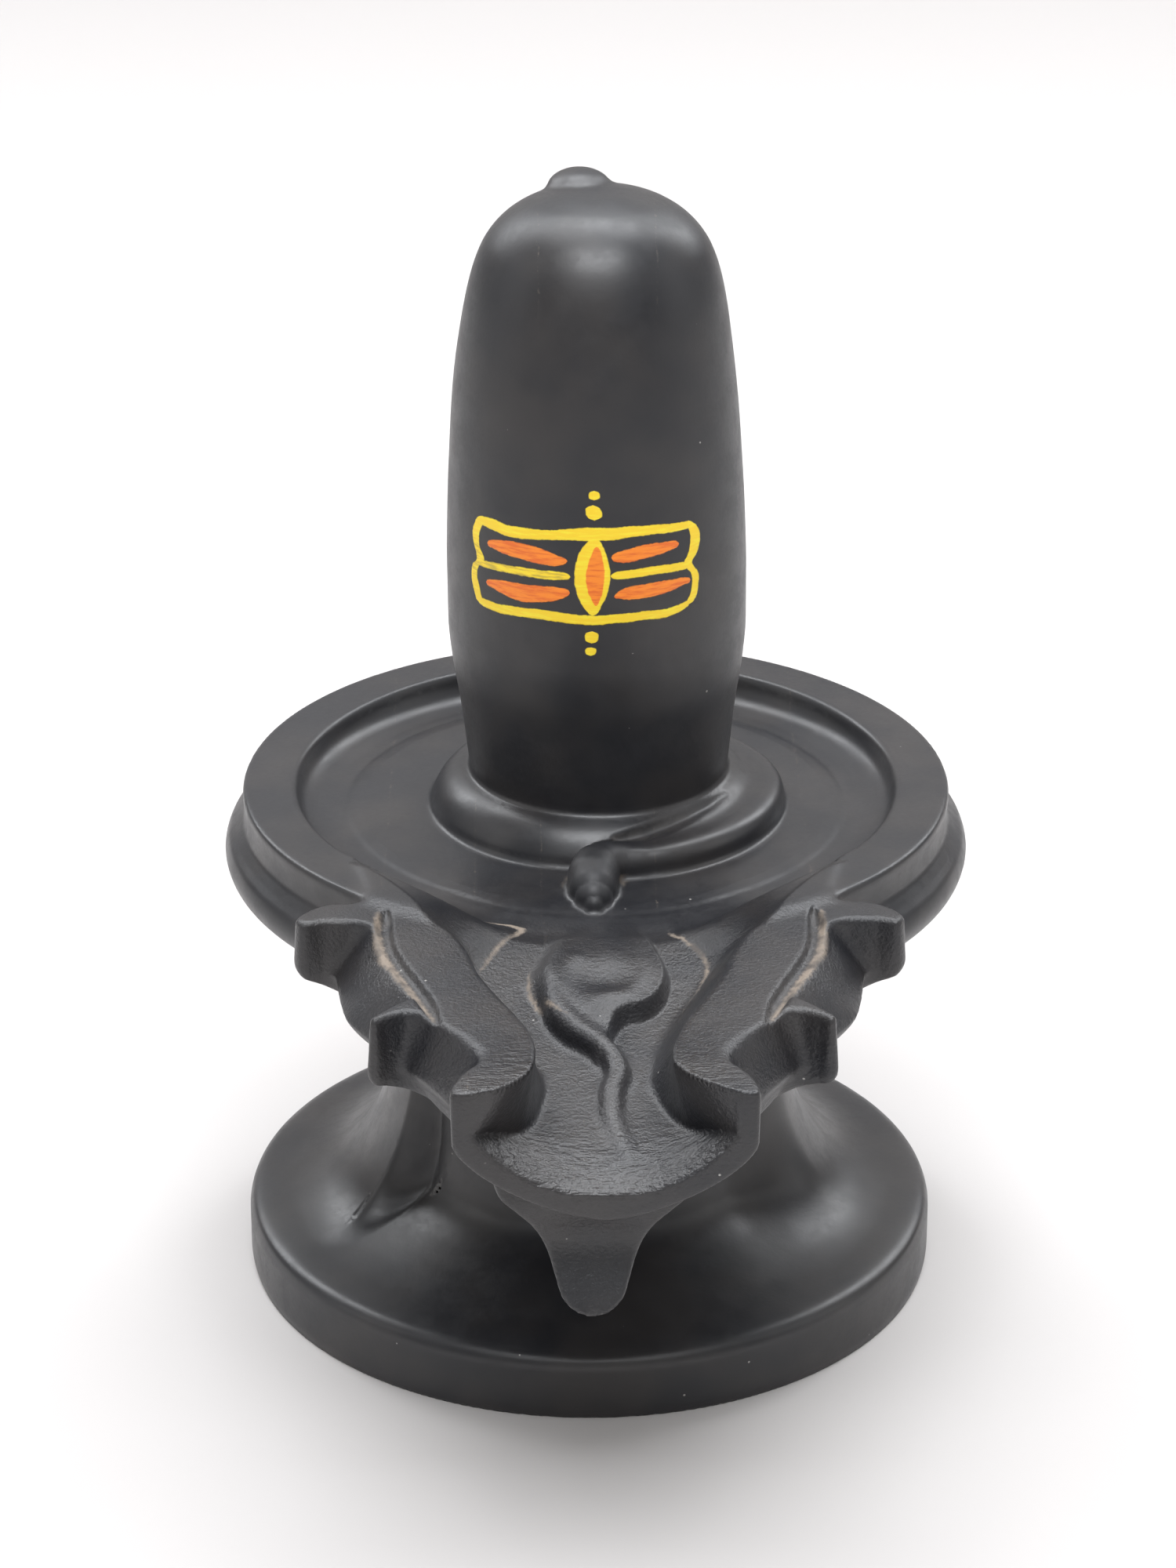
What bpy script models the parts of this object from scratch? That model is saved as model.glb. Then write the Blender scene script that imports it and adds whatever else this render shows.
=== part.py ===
"""Shiva lingam: one carved block of black stone.

A round foot and stem carry a basin with a spout (the yoni).  A domed shaft (the lingam) stands in the
basin, with a serpent's coil lying round its foot.  The spout points towards -Y.  The origin is the centre
of the foot's underside.
"""
import math

import bmesh
import bpy
from mathutils import Vector

MM = 0.001

# Foot and stem
FOOT_RADIUS = 77.0 * MM
FOOT_SIDE_HEIGHT = 15.5 * MM
FOOT_EDGE_ROUND = 3.5 * MM
STEM_RADIUS = 40.0 * MM
STEM_FLARE_HEIGHT = 30.0 * MM
RECESS_DEPTH = 2.6 * MM
RECESS_HALF_ANGLE = math.radians(60)
BOWL_BOTTOM_DROP = 59.5 * MM
STEM_INTO_BOWL = 12.5 * MM
FOOT_TAPER = 0.4 * MM
FLARE_MARGIN = 12.0 * MM
FLARE_EDGE = 1.0 * MM
RECESS_MARGIN = 14.0 * MM
RECESS_EDGE = 0.3 * MM
RECESS_EDGE_OUT = 0.4 * MM
RECESS_TOP_REACH = 12.0 * MM
RECESS_TOP_HALF = 8.0 * MM
RECESS_TOP_OUT = 9.0 * MM

# Basin
RIM_HEIGHT = 115.5 * MM
RIM_RADIUS = 76.8 * MM
RIM_WIDTH = 11.5 * MM
RIM_ROUND = 1.5 * MM
BAND_BULGE = 4.2 * MM
BAND_DROP = 14.0 * MM
BAND_ROUND = 4.0 * MM
COVE_DEPTH = 0.3 * MM
COVE_DROP = 5.0 * MM
COVE_FOOT_OUT = 1.2 * MM
COVE_FOOT_DROP = 8.0 * MM
BOWL_TUCK = 3.0 * MM
BOWL_START_DROP = 5.0 * MM
BASIN_DEPTH = 6.5 * MM
DISH_CUT_ABOVE = 5.0 * MM
DISH_MOUTH_OUT = 0.6 * MM
DISH_RIM_OUT = 0.3 * MM
DISH_WALL_IN = 1.0 * MM
DISH_WALL_DROP = 1.6 * MM
DISH_CORNER = 4.4 * MM
DISH_CORNER_IN = 6.0 * MM
FLOOR_STEP_OUT = 13.0 * MM
FLOOR_STEP_IN = 14.5 * MM
FLOOR_STEP_LOW = 0.2 * MM
FLOOR_STEP_RISE = 0.5 * MM
UPPER_SHIFT = 1.4 * MM

# Shaft
SHAFT_RADIUS = 32.0 * MM
SHAFT_HEIGHT = 132.0 * MM
SHAFT_ROOT = 2.0 * MM
SHAFT_LEAN = math.radians(-0.6)
NUB_RADIUS = 6.8 * MM
NUB_HEIGHT = 4.4 * MM
NUB_ASIDE = 3.5 * MM
NUB_BEHIND = 9.0 * MM
NUB_SUNK = 2.2 * MM

# Serpent round the foot of the shaft
COIL_RADIUS = 29.6 * MM
COIL_THICKNESS = 5.4 * MM
COIL_HEIGHT = 9.0 * MM
STRAND_RADIUS = 35.6 * MM
STRAND_THICKNESS = 4.8 * MM
STRAND_LIFT = 2.6 * MM
STRAND_RISE = 0.6 * MM
HEAD_LENGTH = 15.0 * MM
HEAD_LIFT = 0.4 * MM

# Spout
SPOUT_REACH = 144.5 * MM
SPOUT_SWING = math.radians(0.66)
SPOUT_FRONT_HALF = 29.6 * MM
SPOUT_FRONT_DEPTH = 28.0 * MM
SPOUT_LIP = 6.5 * MM
CHANNEL_WAIST_HALF = 13.4 * MM
CHANNEL_CUT_ABOVE = 6.0 * MM
CHANNEL_FLOOR_EDGE = 0.5 * MM
GROOVE_RADIUS = 1.7 * MM
KNOB_EDGE = 1.0 * MM
KNOB_SPLAY = 4.0 * MM
REAR_KNOB_INNER_DROP = 26.0 * MM
REAR_KNOB_OUTER_DROP = 12.5 * MM
FRONT_KNOB_INNER_DROP = 23.0 * MM
FRONT_KNOB_OUTER_DROP = 14.5 * MM

# Tongue that hangs below the lip
TONGUE_LENGTH = 27.0 * MM
TONGUE_HALF = 16.0 * MM
TONGUE_SETBACK = 3.0 * MM
TONGUE_DEPTH = 12.0 * MM

# Raised serpent in the channel
RELIEF_HALF_WIDTH = 11.5 * MM
RELIEF_HALF_LENGTH = 22.0 * MM
RELIEF_RISE = 5.0 * MM
RELIEF_ASIDE = 0.5 * MM
TAIL_THICKNESS = 2.3 * MM

ROUND_STEPS = 60
SHAFT_STEPS = 40
MERGE = 0.02 * MM
STONE_COLOUR = (0.022, 0.022, 0.025, 1.0)
FRONT = -0.5 * math.pi

FLOOR_HEIGHT = RIM_HEIGHT - BASIN_DEPTH
BAND_RADIUS = RIM_RADIUS + BAND_BULGE


def lerp(low, high, share):
    return low + (high - low) * share


def read_curve(points, position):
    """Value at a position on straight lines through (position, value) points, level beyond the ends."""
    if position <= points[0][0]:
        return points[0][1]
    for (start, low), (end, high) in zip(points, points[1:]):
        if position <= end:
            share = (position - start) / (end - start)
            return lerp(low, high, share)
    return points[-1][1]


def stone():
    material = bpy.data.materials.new("black_stone")
    material.use_nodes = True
    shader = material.node_tree.nodes["Principled BSDF"]
    shader.inputs["Base Color"].default_value = STONE_COLOUR
    shader.inputs["Roughness"].default_value = 0.5
    shader.inputs["Metallic"].default_value = 0.0
    return material


def new_object(name, mesh, guide=True):
    """Put a mesh in the scene; a guide only adds to or cuts the stone and is not a piece itself."""
    item = bpy.data.objects.new(name, mesh)
    bpy.context.scene.collection.objects.link(item)
    if guide:
        item.hide_render = True
        item.display_type = "WIRE"
    return item


def mesh_from(name, build):
    """Make a closed mesh with its faces pointing out from what build() draws."""
    shape = bmesh.new()
    build(shape)
    bmesh.ops.remove_doubles(shape, verts=shape.verts, dist=MERGE)
    bmesh.ops.recalc_face_normals(shape, faces=shape.faces)
    mesh = bpy.data.meshes.new(name)
    shape.to_mesh(mesh)
    shape.free()
    return mesh


def turned(name, profile, steps, guide=True):
    """Turn a profile of (radius, height) about Z, listed down its outer side, top to bottom."""
    mesh = bpy.data.meshes.new(name)
    points = [(radius, 0.0, height) for radius, height in profile]
    edges = [(index, index + 1) for index in range(len(points) - 1)]
    mesh.from_pydata(points, edges, [])
    item = new_object(name, mesh, guide)
    screw = item.modifiers.new("turn", "SCREW")
    screw.axis = "Z"
    screw.steps = steps
    screw.render_steps = steps
    screw.use_merge_vertices = True
    screw.merge_threshold = MERGE
    screw.use_smooth_shade = True
    return item


def sector(name, outline, start, sweep, steps):
    """Turn a closed outline of (radius, height) about Z through only part of a circle."""
    def build(shape):
        turn = [Vector((r * math.cos(start), r * math.sin(start), z)) for r, z in outline]
        face = shape.faces.new([shape.verts.new(point) for point in turn])
        bmesh.ops.spin(shape, geom=[face] + list(face.verts) + list(face.edges), cent=(0, 0, 0),
                       axis=(0, 0, 1), angle=sweep, steps=steps, use_duplicate=False)
    return new_object(name, mesh_from(name, build))


def loft(name, rings):
    """Join rings of equal point count into a closed solid with flat ends."""
    def build(shape):
        loops = [[shape.verts.new(point) for point in ring] for ring in rings]
        for lower, upper in zip(loops, loops[1:]):
            for index in range(len(lower)):
                after = (index + 1) % len(lower)
                shape.faces.new((lower[index], lower[after], upper[after], upper[index]))
        shape.faces.new(loops[0])
        shape.faces.new(loops[-1])
    return new_object(name, mesh_from(name, build))


def ball(name, centre, half_sizes):
    """A rounded lump: a sphere stretched to three half sizes."""
    def build(shape):
        bmesh.ops.create_uvsphere(shape, u_segments=18, v_segments=10, radius=1.0)
        bmesh.ops.scale(shape, vec=half_sizes, verts=shape.verts)
    item = new_object(name, mesh_from(name, build))
    item.location = centre
    return item


def strand(name, points, radii, sides=10):
    """A rounded cord of stone along points; each point has its own radius, and the ends close."""
    def build(shape):
        loops = []
        for index, point in enumerate(points):
            before = points[max(index - 1, 0)]
            after = points[min(index + 1, len(points) - 1)]
            along = (Vector(after) - Vector(before)).normalized()
            across = along.cross(Vector((0, 0, 1))).normalized()
            upward = across.cross(along)
            loop = []
            for side in range(sides):
                angle = 2.0 * math.pi * side / sides
                spread = across * math.cos(angle) + upward * math.sin(angle)
                loop.append(shape.verts.new(Vector(point) + spread * radii[index]))
            loops.append(loop)
        for lower, upper in zip(loops, loops[1:]):
            for index in range(sides):
                after = (index + 1) % sides
                shape.faces.new((lower[index], lower[after], upper[after], upper[index]))
        shape.faces.new(loops[0])
        shape.faces.new(loops[-1])
    return new_object(name, mesh_from(name, build))


def combine(stone_block, tool, operation):
    step = stone_block.modifiers.new(tool.name, "BOOLEAN")
    step.operation = operation
    step.object = tool
    step.solver = "EXACT"


def arc(centre, radius, start, end, steps):
    """Points (radius, height) on an arc in a profile, from one angle to another."""
    turns = [lerp(start, end, index / steps) for index in range(steps + 1)]
    return [(centre[0] + radius * math.cos(t), centre[1] + radius * math.sin(t)) for t in turns]


def flare(inner, outer, low, high, steps):
    """A hollow quarter curve from a stem's side, at height high, out to a rim, at height low."""
    curve = []
    for index in range(steps + 1):
        turn = 0.5 * math.pi * index / steps
        curve.append((outer - (outer - inner) * math.cos(turn) ** 0.9,
                      high - (high - low) * math.sin(turn) ** 0.75))
    return curve


def make_foot():
    stem_top = RIM_HEIGHT - BOWL_BOTTOM_DROP + STEM_INTO_BOWL
    corner = (FOOT_RADIUS - FOOT_EDGE_ROUND, FOOT_SIDE_HEIGHT - FOOT_EDGE_ROUND)
    stem_side = STEM_RADIUS + RECESS_DEPTH
    profile = [(0.0, stem_top), (stem_side, stem_top)]
    profile += flare(stem_side, FOOT_RADIUS - FLARE_MARGIN, FOOT_SIDE_HEIGHT + FLARE_EDGE,
                     FOOT_SIDE_HEIGHT + STEM_FLARE_HEIGHT, 8)
    profile += arc(corner, FOOT_EDGE_ROUND, 0.5 * math.pi, 0.0, 4)
    profile += [(FOOT_RADIUS - FOOT_TAPER, 0.0), (0.0, 0.0)]
    return turned("lingam_and_yoni", profile, ROUND_STEPS, guide=False)


def make_recess():
    """The stem's front, under the spout, is cut a little deeper and meets the foot more sharply."""
    inner = STEM_RADIUS - RECESS_DEPTH
    outline = flare(inner, FOOT_RADIUS - RECESS_MARGIN, FOOT_SIDE_HEIGHT + RECESS_EDGE,
                    FOOT_SIDE_HEIGHT + 0.45 * STEM_FLARE_HEIGHT, 6)
    top = RIM_HEIGHT - BOWL_BOTTOM_DROP
    outline += [(FOOT_RADIUS, FOOT_SIDE_HEIGHT + RECESS_EDGE_OUT), (FOOT_RADIUS, top + RECESS_TOP_OUT)]
    upper = flare(inner, inner + RECESS_TOP_REACH, top + RECESS_TOP_HALF, top - RECESS_TOP_HALF, 4)
    outline += reversed(upper)
    return sector("stem_recess", outline, FRONT - RECESS_HALF_ANGLE, 2.0 * RECESS_HALF_ANGLE, 20)


def make_basin():
    band_height = RIM_HEIGHT - BAND_DROP
    rim_edge = (RIM_RADIUS - RIM_ROUND, RIM_HEIGHT - RIM_ROUND)
    profile = [(0.0, RIM_HEIGHT)]
    profile += arc(rim_edge, RIM_ROUND, 0.5 * math.pi, 0.0, 3)
    profile += [(RIM_RADIUS - COVE_DEPTH, RIM_HEIGHT - COVE_DROP),
                (RIM_RADIUS + COVE_FOOT_OUT, RIM_HEIGHT - COVE_FOOT_DROP)]
    profile += arc((BAND_RADIUS - BAND_ROUND, band_height), BAND_ROUND, 0.25 * math.pi, -0.3 * math.pi, 4)
    under_low = RIM_HEIGHT - BOWL_BOTTOM_DROP
    for share in (0.15, 0.35, 0.55, 0.72, 0.87, 1.0):
        profile.append((lerp(BAND_RADIUS - BOWL_TUCK, STEM_RADIUS, share),
                        lerp(band_height - BOWL_START_DROP, under_low, share ** 2.6)))
    profile.append((0.0, under_low))
    return turned("basin_bowl", profile, ROUND_STEPS)


def make_dish():
    """What is cut out of the basin: a flat floor with a low step, a round corner and a steep wall."""
    wall = RIM_RADIUS - RIM_WIDTH
    above = RIM_HEIGHT + DISH_CUT_ABOVE
    profile = [(0.0, above), (wall + DISH_MOUTH_OUT, above), (wall + DISH_RIM_OUT, RIM_HEIGHT),
               (wall - DISH_WALL_IN, RIM_HEIGHT - DISH_WALL_DROP)]
    corner = (wall - DISH_CORNER_IN, FLOOR_HEIGHT + DISH_CORNER)
    profile += arc(corner, DISH_CORNER, -0.1 * math.pi, -0.5 * math.pi, 4)
    profile += [(wall - FLOOR_STEP_OUT, FLOOR_HEIGHT - FLOOR_STEP_LOW),
                (wall - FLOOR_STEP_IN, FLOOR_HEIGHT + FLOOR_STEP_RISE),
                (0.0, FLOOR_HEIGHT + FLOOR_STEP_RISE)]
    return turned("basin_dish", profile, ROUND_STEPS)


def make_shaft():
    """Slightly barrelled, drawn in at its foot and closed by a dome."""
    base = FLOOR_HEIGHT - SHAFT_ROOT
    crown = RIM_HEIGHT + SHAFT_HEIGHT
    widths = [(0.0, 0.90), (0.12, 0.925), (0.25, 0.975), (0.34, 1.0), (0.48, 0.995), (0.6, 0.968),
              (0.7, 0.935)]
    profile = [(SHAFT_RADIUS * width, base + (crown - base) * share) for share, width in widths]
    dome_start = base + 0.7 * (crown - base)
    for index in range(1, 11):
        turn = 0.5 * math.pi * index / 10
        profile.append((0.935 * SHAFT_RADIUS * math.cos(turn) ** 0.70,
                        dome_start + (crown - dome_start) * math.sin(turn) ** 1.08))
    profile = [(0.0, base)] + profile
    profile.reverse()
    profile[0] = (0.0, crown)
    shaft = turned("shaft", profile, SHAFT_STEPS)
    shaft.rotation_euler = (0.0, SHAFT_LEAN, 0.0)
    shaft.location = (UPPER_SHIFT - math.sin(SHAFT_LEAN) * 0.6 * crown, 0.0, 0.0)
    return shaft


def make_nub():
    """The small boss on the crown, a little behind and to the left of its top."""
    place = (UPPER_SHIFT - NUB_ASIDE, NUB_BEHIND, RIM_HEIGHT + SHAFT_HEIGHT - NUB_SUNK)
    return ball("crown_boss", place, (NUB_RADIUS, NUB_RADIUS, NUB_HEIGHT))


def coil_profile():
    """The round ring's section: it rises from the floor and leans on the shaft."""
    middle = (COIL_RADIUS, FLOOR_HEIGHT + 0.4 * COIL_HEIGHT)
    outline = []
    for index in range(12):
        turn = 2.0 * math.pi * index / 12
        outline.append((middle[0] + COIL_THICKNESS * math.cos(turn),
                        middle[1] + 0.6 * COIL_HEIGHT * math.sin(turn)))
    return outline


def make_coil():
    def build(shape):
        outline = coil_profile()
        loops = []
        for step in range(SHAFT_STEPS):
            turn = 2.0 * math.pi * step / SHAFT_STEPS
            loops.append([shape.verts.new((r * math.cos(turn), r * math.sin(turn), z)) for r, z in outline])
        for step in range(SHAFT_STEPS):
            near = loops[step]
            far = loops[(step + 1) % SHAFT_STEPS]
            for index in range(len(outline)):
                after = (index + 1) % len(outline)
                shape.faces.new((near[index], near[after], far[after], far[index]))
    coil = new_object("coil", mesh_from("coil", build))
    coil.location = (UPPER_SHIFT, 0.0, 0.0)
    return coil


def make_outer_strand():
    """The serpent's neck: it leaves the coil at the right, crosses to the front and turns outwards."""
    points = []
    radii = []
    height = FLOOR_HEIGHT + STRAND_LIFT
    for index in range(15):
        share = index / 14
        turn = lerp(math.radians(48), math.radians(-80), share)
        reach = lerp(COIL_RADIUS, STRAND_RADIUS, min(1.0, 3.0 * share))
        points.append((reach * math.cos(turn), reach * math.sin(turn), height + STRAND_RISE * share))
        radii.append(STRAND_THICKNESS * min(1.0, 0.75 + share))
    last = points[-1]
    bend = [(-4.6, -3.2, 1.02), (-6.6, -8.0, 1.12), (-6.3, -13.0, 0.95), (-5.4, -16.4, 0.5)]
    scale = HEAD_LENGTH / -bend[-1][1]
    for across, along, size in bend:
        points.append((last[0] + across * scale, last[1] + along * scale, height + HEAD_LIFT))
        radii.append(STRAND_THICKNESS * size)
    neck = strand("serpent_neck", points, radii)
    neck.location = (UPPER_SHIFT, 0.0, 0.0)
    return neck


# Half widths of the spout along its length, as shares: first the distance from the shaft's axis over the
# spout's reach, then the half width over the front's half width.
OUTER_TOP = [(0.30, 1.46), (0.50, 1.45), (0.62, 1.36), (0.70, 1.24), (0.78, 1.09), (0.845, 0.93),
             (0.90, 0.82), (0.945, 0.87), (1.0, 1.0)]
OUTER_SIDE = [(0.26, 1.45), (0.42, 1.86), (0.50, 1.83), (0.62, 1.74), (0.70, 1.55), (0.78, 1.30),
              (0.845, 1.08), (0.90, 0.95), (0.945, 0.95), (1.0, 1.0)]
KEEL = [(0.26, 2.15), (0.32, 1.85), (0.40, 1.52), (0.50, 1.3), (0.62, 1.16), (0.78, 1.05), (1.0, 1.0)]


def spout_section(share):
    """Half of the spout's cross section at a share of its reach, from the top edge down to the keel."""
    top = SPOUT_FRONT_HALF * read_curve(OUTER_TOP, share)
    side = SPOUT_FRONT_HALF * read_curve(OUTER_SIDE, share)
    keel = SPOUT_FRONT_DEPTH * read_curve(KEEL, share)
    belly = 0.4 * SPOUT_FRONT_DEPTH
    points = [(top, 0.0), (lerp(top, side, 0.6), 0.55 * belly), (side, 0.9 * belly)]
    for index in range(1, 8):
        turn = 0.5 * math.pi * index / 7
        across = side * math.cos(turn) ** 1.15
        below = belly + (keel - belly) * math.sin(turn) ** 1.25
        points.append((across, below))
    points[-1] = (0.0, keel)
    return points


def mirrored_ring(points, along):
    """A full ring from half a section given as (across, below the rim)."""
    right = [(across, -along, RIM_HEIGHT - below) for across, below in points]
    left = [(-across, -along, RIM_HEIGHT - below) for across, below in reversed(points) if across > MERGE]
    return right + left


def on_spout(item):
    """Spout pieces share the spout's own frame, which is shifted and swung with the basin."""
    item.location = (UPPER_SHIFT, 0.0, 0.0)
    item.rotation_euler = (0.0, 0.0, SPOUT_SWING)
    return item


def make_spout_body():
    shares = [0.26, 0.32, 0.39, 0.46, 0.54, 0.62, 0.70, 0.78, 0.845, 0.90, 0.945, 0.985, 1.0]
    rings = [mirrored_ring(spout_section(share), share * SPOUT_REACH) for share in shares]
    return on_spout(loft("spout_body", rings))


# Half widths of the channel at its top and on its floor, as shares: the distance over the spout's reach,
# then the half width over the half width of the waist.
CHANNEL_TOP = [(0.27, 3.2), (0.36, 2.9), (0.45, 2.55), (0.53, 2.2), (0.61, 1.97), (0.67, 1.75),
               (0.72, 1.54), (0.775, 1.27), (0.83, 1.06), (0.88, 1.0), (0.92, 1.02), (0.955, 1.22),
               (0.98, 1.52), (1.02, 1.84)]
CHANNEL_FLOOR = [(0.27, 0.9), (0.36, 1.0), (0.41, 1.1), (0.475, 1.65), (0.53, 1.5), (0.58, 1.32),
                 (0.655, 0.92), (0.70, 0.75), (0.75, 0.7), (0.79, 0.78), (0.83, 0.95), (0.90, 1.2),
                 (1.02, 1.5)]


def make_channel():
    """The run-off: it leaves the basin's floor, narrows to a waist and opens to a wide round mouth."""
    floor_drop = SPOUT_FRONT_DEPTH - SPOUT_LIP - BASIN_DEPTH
    rings = []
    for index in range(23):
        share = lerp(0.27, 1.02, index / 22)
        top = CHANNEL_WAIST_HALF * read_curve(CHANNEL_TOP, share)
        floor = CHANNEL_WAIST_HALF * read_curve(CHANNEL_FLOOR, share)
        run = max(0.0, (share - 0.38) / 0.62)
        below = BASIN_DEPTH + floor_drop * run
        dish = 0.55 * floor_drop * max(0.0, (share - 0.72) / 0.28) ** 1.5
        half = [(top, -CHANNEL_CUT_ABOVE), (top, 0.0), (lerp(top, floor, 0.45), 0.5 * (below - dish)),
                (floor, below - dish - CHANNEL_FLOOR_EDGE), (0.72 * floor, below - 0.42 * dish),
                (0.38 * floor, below - 0.1 * dish), (0.0, below)]
        rings.append(mirrored_ring(half, share * SPOUT_REACH))
    return on_spout(loft("spout_channel", rings))


def knob(name, back, front, side_sign, inner_bottom, outer_bottom):
    """A block that stands out of the spout's side, flat on top; its underside rises outwards."""
    outline = back + front

    def build(shape):
        top = []
        bottom = []
        far = max(across for across, along in outline)
        near = min(across for across, along in outline)
        for across, along in outline:
            share = (across - near) / (far - near)
            drop = lerp(inner_bottom, outer_bottom, share)
            splay = KNOB_SPLAY if (across, along) in back else 0.0
            top.append(shape.verts.new((side_sign * across, -along, RIM_HEIGHT)))
            bottom.append(shape.verts.new((side_sign * across, splay - along, RIM_HEIGHT - drop)))
        shape.faces.new(top)
        shape.faces.new(bottom)
        for index in range(len(top)):
            after = (index + 1) % len(top)
            shape.faces.new((top[index], top[after], bottom[after], bottom[index]))
    item = new_object(name, mesh_from(name, build))
    edge = item.modifiers.new("worn_edges", "BEVEL")
    edge.width = KNOB_EDGE
    edge.segments = 2
    edge.limit_method = "ANGLE"
    edge.angle_limit = math.radians(25)
    return on_spout(item)


def make_knobs():
    """Two steps on each side, the rear pair larger; places are shares of the spout's reach."""
    rear = ([(0.275, 0.40), (0.32, 0.415), (0.395, 0.435), (0.424, 0.472)],
            [(0.424, 0.496), (0.38, 0.49), (0.335, 0.495), (0.308, 0.52), (0.29, 0.57), (0.26, 0.57)],
            REAR_KNOB_INNER_DROP, REAR_KNOB_OUTER_DROP)
    front = ([(0.20, 0.70), (0.245, 0.71), (0.285, 0.735), (0.312, 0.775)],
             [(0.308, 0.79), (0.27, 0.765), (0.235, 0.765), (0.212, 0.80), (0.18, 0.86), (0.16, 0.86)],
             FRONT_KNOB_INNER_DROP, FRONT_KNOB_OUTER_DROP)
    knobs = []
    for side_name, side_sign in (("left", -1.0), ("right", 1.0)):
        for name, (back, fore, inner, outer) in (("rear", rear), ("front", front)):
            back_edge = [(across * SPOUT_REACH, along * SPOUT_REACH) for across, along in back]
            fore_edge = [(across * SPOUT_REACH, along * SPOUT_REACH) for across, along in fore]
            label = side_name + "_" + name + "_knob"
            knobs.append(knob(label, back_edge, fore_edge, side_sign, inner, outer))
    return knobs


def make_grooves():
    """A narrow groove follows each wall between its top and the knobs."""
    route = [(0.283, 0.445), (0.288, 0.52), (0.274, 0.60), (0.255, 0.67), (0.238, 0.73), (0.222, 0.785)]
    grooves = []
    for side_name, side_sign in (("left", -1.0), ("right", 1.0)):
        points = [(side_sign * across * SPOUT_REACH, -along * SPOUT_REACH, RIM_HEIGHT)
                  for across, along in route]
        radii = [GROOVE_RADIUS * size for size in (0.5, 1.0, 1.1, 1.1, 1.0, 0.7)]
        grooves.append(on_spout(strand(side_name + "_groove", points, radii, sides=8)))
    return grooves


def make_tongue():
    """A tapering tongue hangs under the lip, with its front set back a little."""
    front = SPOUT_REACH - TONGUE_SETBACK
    top = RIM_HEIGHT - SPOUT_FRONT_DEPTH + 0.28 * TONGUE_LENGTH
    sections = [(0.0, 1.15, 1.3), (0.25, 1.0, 1.2), (0.42, 0.86, 1.05), (0.58, 0.70, 0.9), (0.74, 0.56, 0.8),
                (0.88, 0.42, 0.66), (0.96, 0.28, 0.45), (1.0, 0.12, 0.2)]
    rings = []
    for share, width, depth in sections:
        height = top - share * 1.25 * TONGUE_LENGTH
        middle = front - 0.5 * TONGUE_DEPTH
        ring = []
        for index in range(16):
            turn = 2.0 * math.pi * index / 16
            across = TONGUE_HALF * width * math.cos(turn)
            along = 0.5 * TONGUE_DEPTH * depth * math.sin(turn)
            if along > 0.0:
                along *= 0.8
            ring.append((across - 0.1 * TONGUE_HALF - 0.1 * TONGUE_HALF * share, -(middle + along), height))
        rings.append(ring)
    return on_spout(loft("lip_tongue", rings))


def make_relief():
    """A serpent in low relief: a broad head that starts at the basin's floor, and a thin waved tail."""
    head_at = 0.585 * SPOUT_REACH
    place = (UPPER_SHIFT + RELIEF_ASIDE, -head_at, FLOOR_HEIGHT - RELIEF_RISE)
    head = ball("relief_head", place, (RELIEF_HALF_WIDTH, RELIEF_HALF_LENGTH, 1.2 * RELIEF_RISE))
    floor_drop = SPOUT_FRONT_DEPTH - SPOUT_LIP - BASIN_DEPTH
    points = []
    radii = []
    wave = [(0.66, -0.2), (0.70, 0.1), (0.735, 0.55), (0.77, 0.2), (0.805, -0.35), (0.84, -0.3), (0.88, 0.2),
            (0.915, 0.7)]
    for share, sway in wave:
        floor = FLOOR_HEIGHT - floor_drop * max(0.0, (share - 0.38) / 0.62)
        lift = 0.55 * TAIL_THICKNESS * max(0.0, 1.0 - (share - 0.66) / 0.4)
        points.append((sway * TAIL_THICKNESS, -share * SPOUT_REACH, floor + lift))
        radii.append(TAIL_THICKNESS * lerp(1.25, 0.45, (share - 0.66) / 0.255))
    tail = on_spout(strand("relief_tail", points, radii, sides=10))
    return [head, tail]


def make_lingam():
    block = make_foot()
    block.data.materials.append(stone())
    combine(block, make_recess(), "DIFFERENCE")
    basin = make_basin()
    basin.location = (UPPER_SHIFT, 0.0, 0.0)
    combine(block, basin, "UNION")
    combine(block, make_spout_body(), "UNION")
    for item in make_knobs():
        combine(block, item, "UNION")
    combine(block, make_tongue(), "UNION")
    dish = make_dish()
    dish.location = (UPPER_SHIFT, 0.0, 0.0)
    combine(block, dish, "DIFFERENCE")
    combine(block, make_channel(), "DIFFERENCE")
    for item in make_grooves():
        combine(block, item, "DIFFERENCE")
    for item in make_relief():
        combine(block, item, "UNION")
    combine(block, make_coil(), "UNION")
    combine(block, make_outer_strand(), "UNION")
    combine(block, make_shaft(), "UNION")
    combine(block, make_nub(), "UNION")


for old in list(bpy.data.objects):
    bpy.data.objects.remove(old, do_unlink=True)
make_lingam()
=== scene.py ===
import math

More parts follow.
